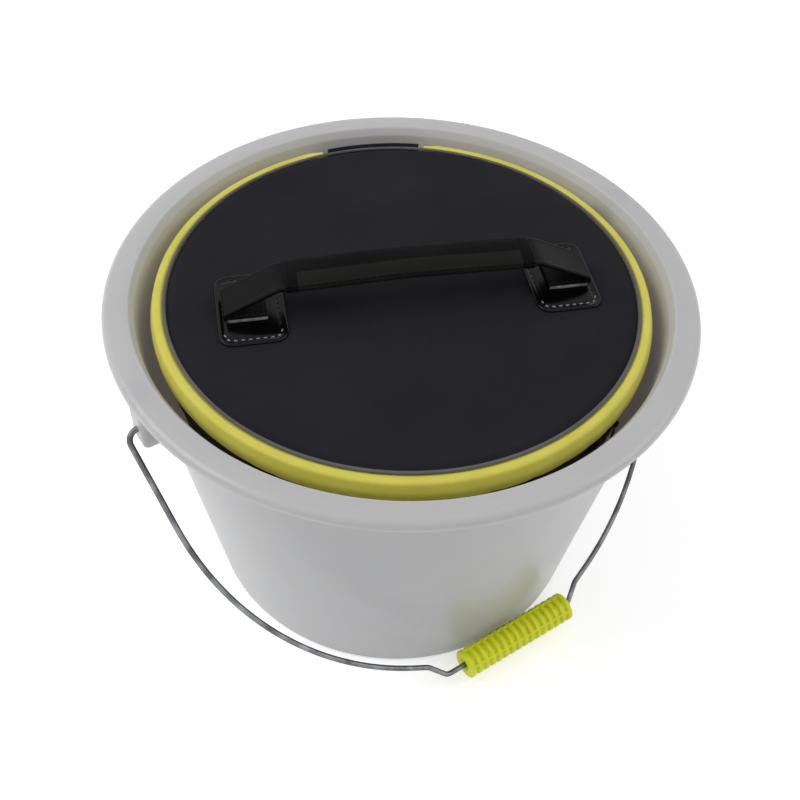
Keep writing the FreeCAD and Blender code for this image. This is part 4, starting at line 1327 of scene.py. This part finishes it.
@dataclass
class Handle:
    """Carry handle on the lid: two welded patches, a folded strap and a padded sleeve."""

    shift: Point = (2.0, -7.2)
    turn: float = 2.4
    patch_centre: float = 97.5
    patch_half_x: float = 21.0
    patch_half_y: float = 31.0
    patch_round: float = 9.0
    patch_foot: float = 230.4
    patch_field: float = 1.58
    patch_points: int = 160
    patch_seam: Point = (4.05, 1.22)
    patch_edge: tuple[Point, ...] = (
        (0.5, -0.2), (0.1, 0.1), (0.0, 0.5), (0.1, 1.0), (0.5, 1.45), (1.1, 1.7), (1.8, 1.72), (2.5, 1.5),
        (3.1, 1.25), (3.7, 1.1), (4.4, 1.1), (5.0, 1.25), (5.6, 1.5),
    )
    patch_insets: tuple[float, ...] = (6.4, 9.0, 14.0, 19.5, 20.0)
    strap_width: float = 25.0
    strap_thick: float = 2.4
    strap_bead: float = 0.16
    strap_step: float = 0.7
    strap_route: tuple[Point, ...] = ((88.0, 233.2), (113.0, 233.2), (113.0, 237.8), (80.0, 253.9), (0.0, 256.4))
    strap_bends: tuple[float, ...] = (0.0, 2.21, 2.21, 12.0, 400.0)
    box_ends: Point = (90.0, 107.0)
    box_half_width: float = 9.0
    box_height: float = 234.45
    arch_foot: float = 240.0
    sleeve_half: float = 77.0
    sleeve_half_width: float = 13.2
    sleeve_half_height: float = 4.5

    def placed(self, points: Array, offset: float = 1.0) -> Array:
        """Bring points of the handle's own frame on to the lid; an offset of 0 only turns directions."""
        return turned(turned(points, self.turn) + offset * np.array([*self.shift, 0.0]))

    def patch_ring(self, inset: float) -> Array:
        """Outline of a patch drawn in by an inset.

        Args:
            inset: how far it is drawn in.

        Returns:
            Points, shape (n, 2), as many at any inset.
        """
        a, b = self.patch_half_x - inset, self.patch_half_y - inset
        curve = max(self.patch_round - inset, 0.6)
        outline = rounded([(a, -b), (a, b), (-a, b), (-a, -b)], [curve] * 4, steps=16)
        dense = np.concatenate([outline, outline[:1]])
        where = np.linspace(0.0, len(dense) - 1.0, self.patch_points, endpoint=False)
        return np.stack([np.interp(where, np.arange(len(dense)), dense[:, k]) for k in (0, 1)], axis=1)

    def patch(self, centre: float) -> list[Grid]:
        """Moulded patch: insets of its outline stepped up over a rolled rim, a stitch groove and a flat field.

        Args:
            centre: where its middle is along the handle.

        Returns:
            The patch, its dark stitches and the pale ones along its front edge, a painted highlight.
        """
        steps = [*self.patch_edge, *((inset, self.patch_field) for inset in self.patch_insets)]
        rings = np.stack([raised(self.patch_ring(inset), self.patch_foot + rise) for inset, rise in steps[:-1]])
        ground, middle = (np.repeat(rings[[k]].mean(axis=1, keepdims=True), self.patch_points, axis=1) for k in (0, -1))
        points = np.concatenate([ground, rings, middle]) + np.array([centre, 0.0, 0.0])
        inset, rise = np.array([(0.0, 0.0), *steps]).T
        light_and_wear_amount = eased((rise - 0.9) / 0.6) * eased((3.0 - inset) / 1.2)
        ring = self.patch_ring(self.patch_seam[0])
        front = ring[:, 1] < 3.0 - self.patch_half_y + self.patch_round
        first, count = int(np.argmax(front & ~np.roll(front, 1))), int(front.sum())
        line = raised(ring + np.array([centre, 0.0]), self.patch_foot + self.patch_seam[1])
        line = np.roll(self.placed(line), -first, axis=0)
        return [
            Grid(self.placed(points), loop_v=True, light_and_wear_amount=light_and_wear_amount[:, None]),
            # The front row in pale thread is a painted highlight.
            stitches(line[count:], UP, Stitch.PATCH), stitches(line[:count], UP, Stitch.PATCH_FRONT, finish=2),
        ]

    def route(self) -> Array:
        """Middle line of the strap: flat tail, tight fold, rise to the arch and the same again.

        Returns:
            Points (along, height), shape (n, 2).
        """
        corners = [*self.strap_route, *((-x, z) for x, z in self.strap_route[-2::-1])]
        bends = self.strap_bends + self.strap_bends[-2::-1]
        return resampled(rounded(corners, bends, steps=24, closed=False), self.strap_step)

    def build_patches(self) -> None:
        """Make the two patches with their stitches."""
        for side, name in ((-1.0, "left"), (1.0, "right")):
            grids, finishes = self.patch(side * self.patch_centre), [PATCH_PLASTIC, DARK_THREAD, HIGHLIGHT_THREAD]
            hung(f"handle_patch_plate_{name}", grids, finishes, "lid", f"handle_patch_{name}")

    def build_strap(self) -> None:
        """Make the strap: a flat section with beaded edges, carried from tail to tail, and its box stitches."""
        line = self.route()
        path, normal, level = plane_frame(line)
        half_w, half_t = self.strap_width / 2.0, self.strap_thick / 2.0
        edge = half_t + self.strap_bead
        upper = [
            (half_w, edge), (half_w - 2.2, edge), (half_w - 3.0, half_t), (-half_w + 3.0, half_t),
            (-half_w + 2.2, edge), (-half_w, edge),
        ]
        section = rounded([(-x, -z) for x, z in upper] + upper, [1.1, 0.3, 0.3, 0.3, 0.3, 1.1] * 2, steps=5)
        # Painted highlight along both edges of the strap's flat tails.
        painted_light_and_wear = eased((np.abs(section[:, 0]) - half_w + 0.7) / 0.5)
        run = np.arange(len(line)) * self.strap_step
        tail = 1.0 - eased((np.minimum(run, run[::-1]) - 22.0) / 4.0)
        body = self.placed(carried(path, level, normal, section))
        grids = [Grid(body, loop_v=True, caps=True, light_and_wear_amount=tail[:, None] * painted_light_and_wear)]
        for way in (-1.0, 1.0):
            sides = (-self.box_half_width, self.box_half_width)
            spots = np.array([(way * x, y) for y in sides for x in self.box_ends])
            for ends in ((0, 2), (1, 3), (0, 1), (2, 3)):
                row = resampled(raised(spots[list(ends)], self.box_height), 1.0)
                grids.append(stitches(self.placed(row), UP, Stitch.BOX))
        hung("handle_folded_strap", grids, [STRAP_WEBBING, DARK_THREAD], "lid", "handle_strap")

    def build_sleeve(self) -> None:
        """Make the padded sleeve: a flattened oval on the strap's arch, full in the middle, hemmed at its ends."""
        line = self.route()
        line = line[(line[:, 1] > self.arch_foot) & (np.abs(line[:, 0]) <= self.sleeve_half)]
        path, normal, level = plane_frame(line)
        t = np.linspace(-1.0, 1.0, len(line))
        past = np.abs(t) * self.sleeve_half - self.sleeve_half
        hem = eased((past + 7.5) / 1.2)
        groove = np.exp(-(((past + 7.8) / 0.8) ** 2))
        close = np.sqrt(np.clip(1.0 - eased((past + 1.6) / 1.7) ** 2 * 0.9, 0.0, 1.0))
        puff = 1.0 + 0.03 * np.cos(t * 1.4) - 0.05 * groove + 0.02 * hem
        wave = 1.0 + 0.012 * np.sin(line[:, 0] / 9.0) * np.sin(line[:, 0] / 23.0 + 0.6)
        around = 56
        angle = full_turn(around)
        ridge = 0.06 * np.exp(-(((angle - math.radians(207.0)) / 0.07) ** 2))
        valley = -0.05 * np.exp(-(((angle - math.radians(192.0)) / 0.1) ** 2))
        skin = oval(1.0, around, power=2.7) * (1.0 + ridge + valley)[:, None]
        wide = self.sleeve_half_width * (0.97 + 0.03 * puff) * (0.9 + 0.1 * close)
        tall = self.sleeve_half_height * puff * wave * (0.45 + 0.55 * close)
        sections = grid_of(skin[:, 0] * wide[:, None], skin[:, 1] * tall[:, None])
        body = self.placed(carried(path, level, normal, sections))
        row = body[8:-8, int(round(199.0 / 360.0 * around))]
        out = unit(self.placed(-level[8:-8] - 0.35 * normal[8:-8], 0.0))
        # Painted shade: the back third of the cover, and its hems, take the darker copy of the cloth.
        shade_and_hems = (np.degrees(angle) > 262.0) | (past[:-1, None] > -8.0)
        cover = Grid(body, loop_v=True, caps=True, finish=2 * shade_and_hems)
        finishes = [SLEEVE_COVER, DARK_THREAD, SLEEVE_SHADE_AND_HEMS]
        seam = stitches(row, out, Stitch.PADDED)
        sleeve = hung("padded_handle_sleeve", [cover, seam], finishes, "lid", "handle_sleeve")

    def build(self) -> None:
        """Make the patches, the strap and the sleeve."""
        self.build_patches()
        self.build_strap()
        self.build_sleeve()


@dataclass
class ZipPulls:
    """The two pulls that hang on the sliders: flat moulded tabs with an eye and grip bars."""

    radius: float = 154.93
    half_thick: float = 0.6
    half_width: float = 2.1
    low: float = 183.55
    high: float = 209.65
    angles: tuple[tuple[str, float], ...] = (("right", -44.0), ("left", -51.0))

    def tab(self, angle: float) -> Array:
        """Pull on a slider: rounded sections stacked downwards, a waist below the eye, then grip bars.

        Args:
            angle: the slider's place round the zip, in degrees from the insert's own X axis.

        Returns:
            Grid of points.
        """
        ends = np.array([0.0, 0.15, 0.6, 1.2])
        z = np.concatenate([self.high - ends, np.linspace(self.high - 1.8, self.low + 1.8, 48), self.low + ends[::-1]])
        top, foot = self.high - z, z - self.low
        cap = np.sqrt(np.clip(1.0 - (1.0 - np.minimum(np.minimum(top, foot) / 2.0, 1.0)) ** 2, 0.0, 1.0))
        waist = 1.0 - 0.28 * np.exp(-(((top - 6.2) / 2.2) ** 2))
        barred = eased((15.5 - foot) / 1.5) * eased((foot - 1.5) / 1.5)
        bars = 1.0 + 0.16 * (0.5 + 0.5 * np.cos(2.0 * math.pi * foot / 2.6)) * barred
        wide = np.maximum(self.half_width * cap * waist, 0.02)[:, None]
        thick = np.maximum(0.84 * self.half_thick * np.minimum(cap * 1.3, 1.0) * bars, 0.02)[:, None]
        ring = oval(1.0, 24, power=3.2)
        flat = grid_of(self.radius + ring[:, 1] * thick, ring[:, 0] * wide, z[:, None])
        return turned(flat, angle + INSERT_TURN)

    def build(self) -> None:
        """Make both pulls."""
        for side, angle in self.angles:
            tab = Grid(self.tab(angle), loop_v=True, caps=True)
            hung(f"zip_pull_tab_{side}", [tab], [ZIP_METAL], f"pull_{side}", f"zip_pull_{side}")


# ---------------------------------------------------------------- carried-over nodes and studio


def finish_nodes() -> None:
    """Dress the CAD nodes that stay: the lid's hidden board, the zip's sliders and its stops."""
    metal = ("zip_slider_left", "zip_slider_right", "zip_stop_left", "zip_stop_right")
    for node, finish in {"lid_core": LID_BOARD, **dict.fromkeys(metal, ZIP_METAL)}.items():
        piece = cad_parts[node]
        piece.data.materials.clear()
        piece.data.materials.append(finish.material())
        LOG.info("node %s: %s", node, finish.name)


@dataclass
class Studio:
    """Plain pale floor, soft lamps and the camera."""

    target: tuple[float, float, float] = (0.6, -1.39, 124.0)
    azimuth: float = -35.0
    elevation: float = 48.083
    distance: float = 747.95
    roll: float = 2.541
    lens: float = 48.12
    ambient: float = 0.47
    floor_rings: tuple[float, ...] = (0.0, 300.0, 900.0, 4000.0)
    floor_level: float = -0.4
    floor_glow: Point = (0.5, 1.0)
    floor_glow_reach: Point = (0.4, 1.6)

    def toward(self, azimuth: float, elevation: float, distance: float) -> Vector:
        """Place at a distance from the target.

        Args:
            azimuth: degrees from the front.
            elevation: degrees above the level.
            distance: distance in millimetres.

        Returns:
            The place in metres.
        """
        a, e = math.radians(azimuth), math.radians(elevation)
        way = Vector((math.sin(a) * math.cos(e), -math.cos(a) * math.cos(e), math.sin(e)))
        return (Vector(self.target) + way * distance) * MM

    def aim(self, obj: Piece, roll: float = 0.0) -> None:
        """Turn a lamp or camera to face the target."""
        way = Vector(self.target) * MM - obj.location
        obj.rotation_euler = (way.to_track_quat("-Z", "Y").to_matrix() @ Matrix.Rotation(roll, 3, "Z")).to_euler()

    def build_camera(self) -> None:
        """Make the camera at the photograph's view."""
        data = bpy.data.cameras.new("view_camera")
        data.lens, data.sensor_width, data.clip_start = self.lens, 36.0, 0.01
        camera = linked("view_camera", data)
        camera.location = self.toward(self.azimuth, self.elevation, self.distance)
        self.aim(camera, math.radians(self.roll))
        bpy.context.scene.camera = camera

    def lamp(self, name: str, azimuth: float, elevation: float, distance: float, size: float, power: float) -> None:
        """Make a square soft lamp that faces the target.

        Args:
            name: the lamp's name.
            azimuth: degrees from the front.
            elevation: degrees above the level.
            distance: distance from the target.
            size: length of a side.
            power: power in watts.
        """
        data = bpy.data.lights.new(name, "AREA")
        data.shape, data.size, data.energy = "SQUARE", size * MM, power
        lamp = linked(name, data)
        lamp.location = self.toward(azimuth, elevation, distance)
        self.aim(lamp)

    def seen_white(self, tree: Tree) -> Socket:
        """Tell rays that look at the surroundings from those that light the object.

        Args:
            tree: the material's or the world's tree.

        Returns:
            1 for rays from the camera, a mirror or glass, and 0 for the rest.
        """
        path = tree.nodes.new("ShaderNodeLightPath").outputs
        seen = calc(tree, "MAXIMUM", path["Is Camera Ray"], path["Is Glossy Ray"])
        return calc(tree, "MAXIMUM", seen, path["Is Transmission Ray"])

    def build_world(self) -> None:
        """White surroundings to look at, and an even grey light from them."""
        world = bpy.data.worlds.new("studio_world")
        bpy.context.scene.world = world
        world.use_nodes = True
        tree = world.node_tree
        strength = spread(tree, self.seen_white(tree), 0.0, 1.0, self.ambient, 1.0)
        fill(tree, tree.nodes["Background"], {"Color": WHITE, "Strength": strength})

    def build_floor(self) -> None:
        """Pale floor: a wide disc that keeps the shadow, lifted to white where it is seen, most far away."""
        disc = polar(full_turn(96)[:, None], np.array(self.floor_rings), self.floor_level)
        floor = bare_piece("studio_floor", [Grid(disc, loop_u=True)])
        material = bpy.data.materials.new("studio_floor_paint")
        material.use_nodes = True
        tree = material.node_tree
        place = tree.nodes.new("ShaderNodeTexCoord").outputs["Object"]
        reach = add_node(tree, "ShaderNodeVectorMath", {0: place}, operation="LENGTH").outputs["Value"]
        lift = spread(tree, reach, *self.floor_glow_reach, *self.floor_glow)
        fill(tree, tree.nodes["Principled BSDF"], {
            "Base Color": linear((244, 244, 244)), "Roughness": 0.9, "Specular IOR Level": 0.0,
            "Emission Color": WHITE, "Emission Strength": calc(tree, "MULTIPLY", self.seen_white(tree), lift),
        })
        floor.data.materials.append(material)

    def build(self) -> None:
        """Make the floor, the light and the camera."""
        self.build_camera()
        self.build_world()
        self.build_floor()
        self.lamp("key_softbox", azimuth=-120.0, elevation=45.0, distance=1700.0, size=1000.0, power=9.0)
        self.lamp("fill_softbox", azimuth=50.0, elevation=35.0, distance=1900.0, size=1100.0, power=5.5)
        bpy.context.scene.view_settings.view_transform = "Standard"


def main() -> None:
    """Build every sub-assembly in order, then the studio."""
    logging.basicConfig(level=logging.INFO, format="%(message)s")
    Studio().build()
    Bucket().build()
    Bail().build()
    bowl = Bowl()
    bowl.build()
    Lid().build(bowl)
    Handle().build()
    ZipPulls().build()
    finish_nodes()


if __name__ == "__main__":
    main()
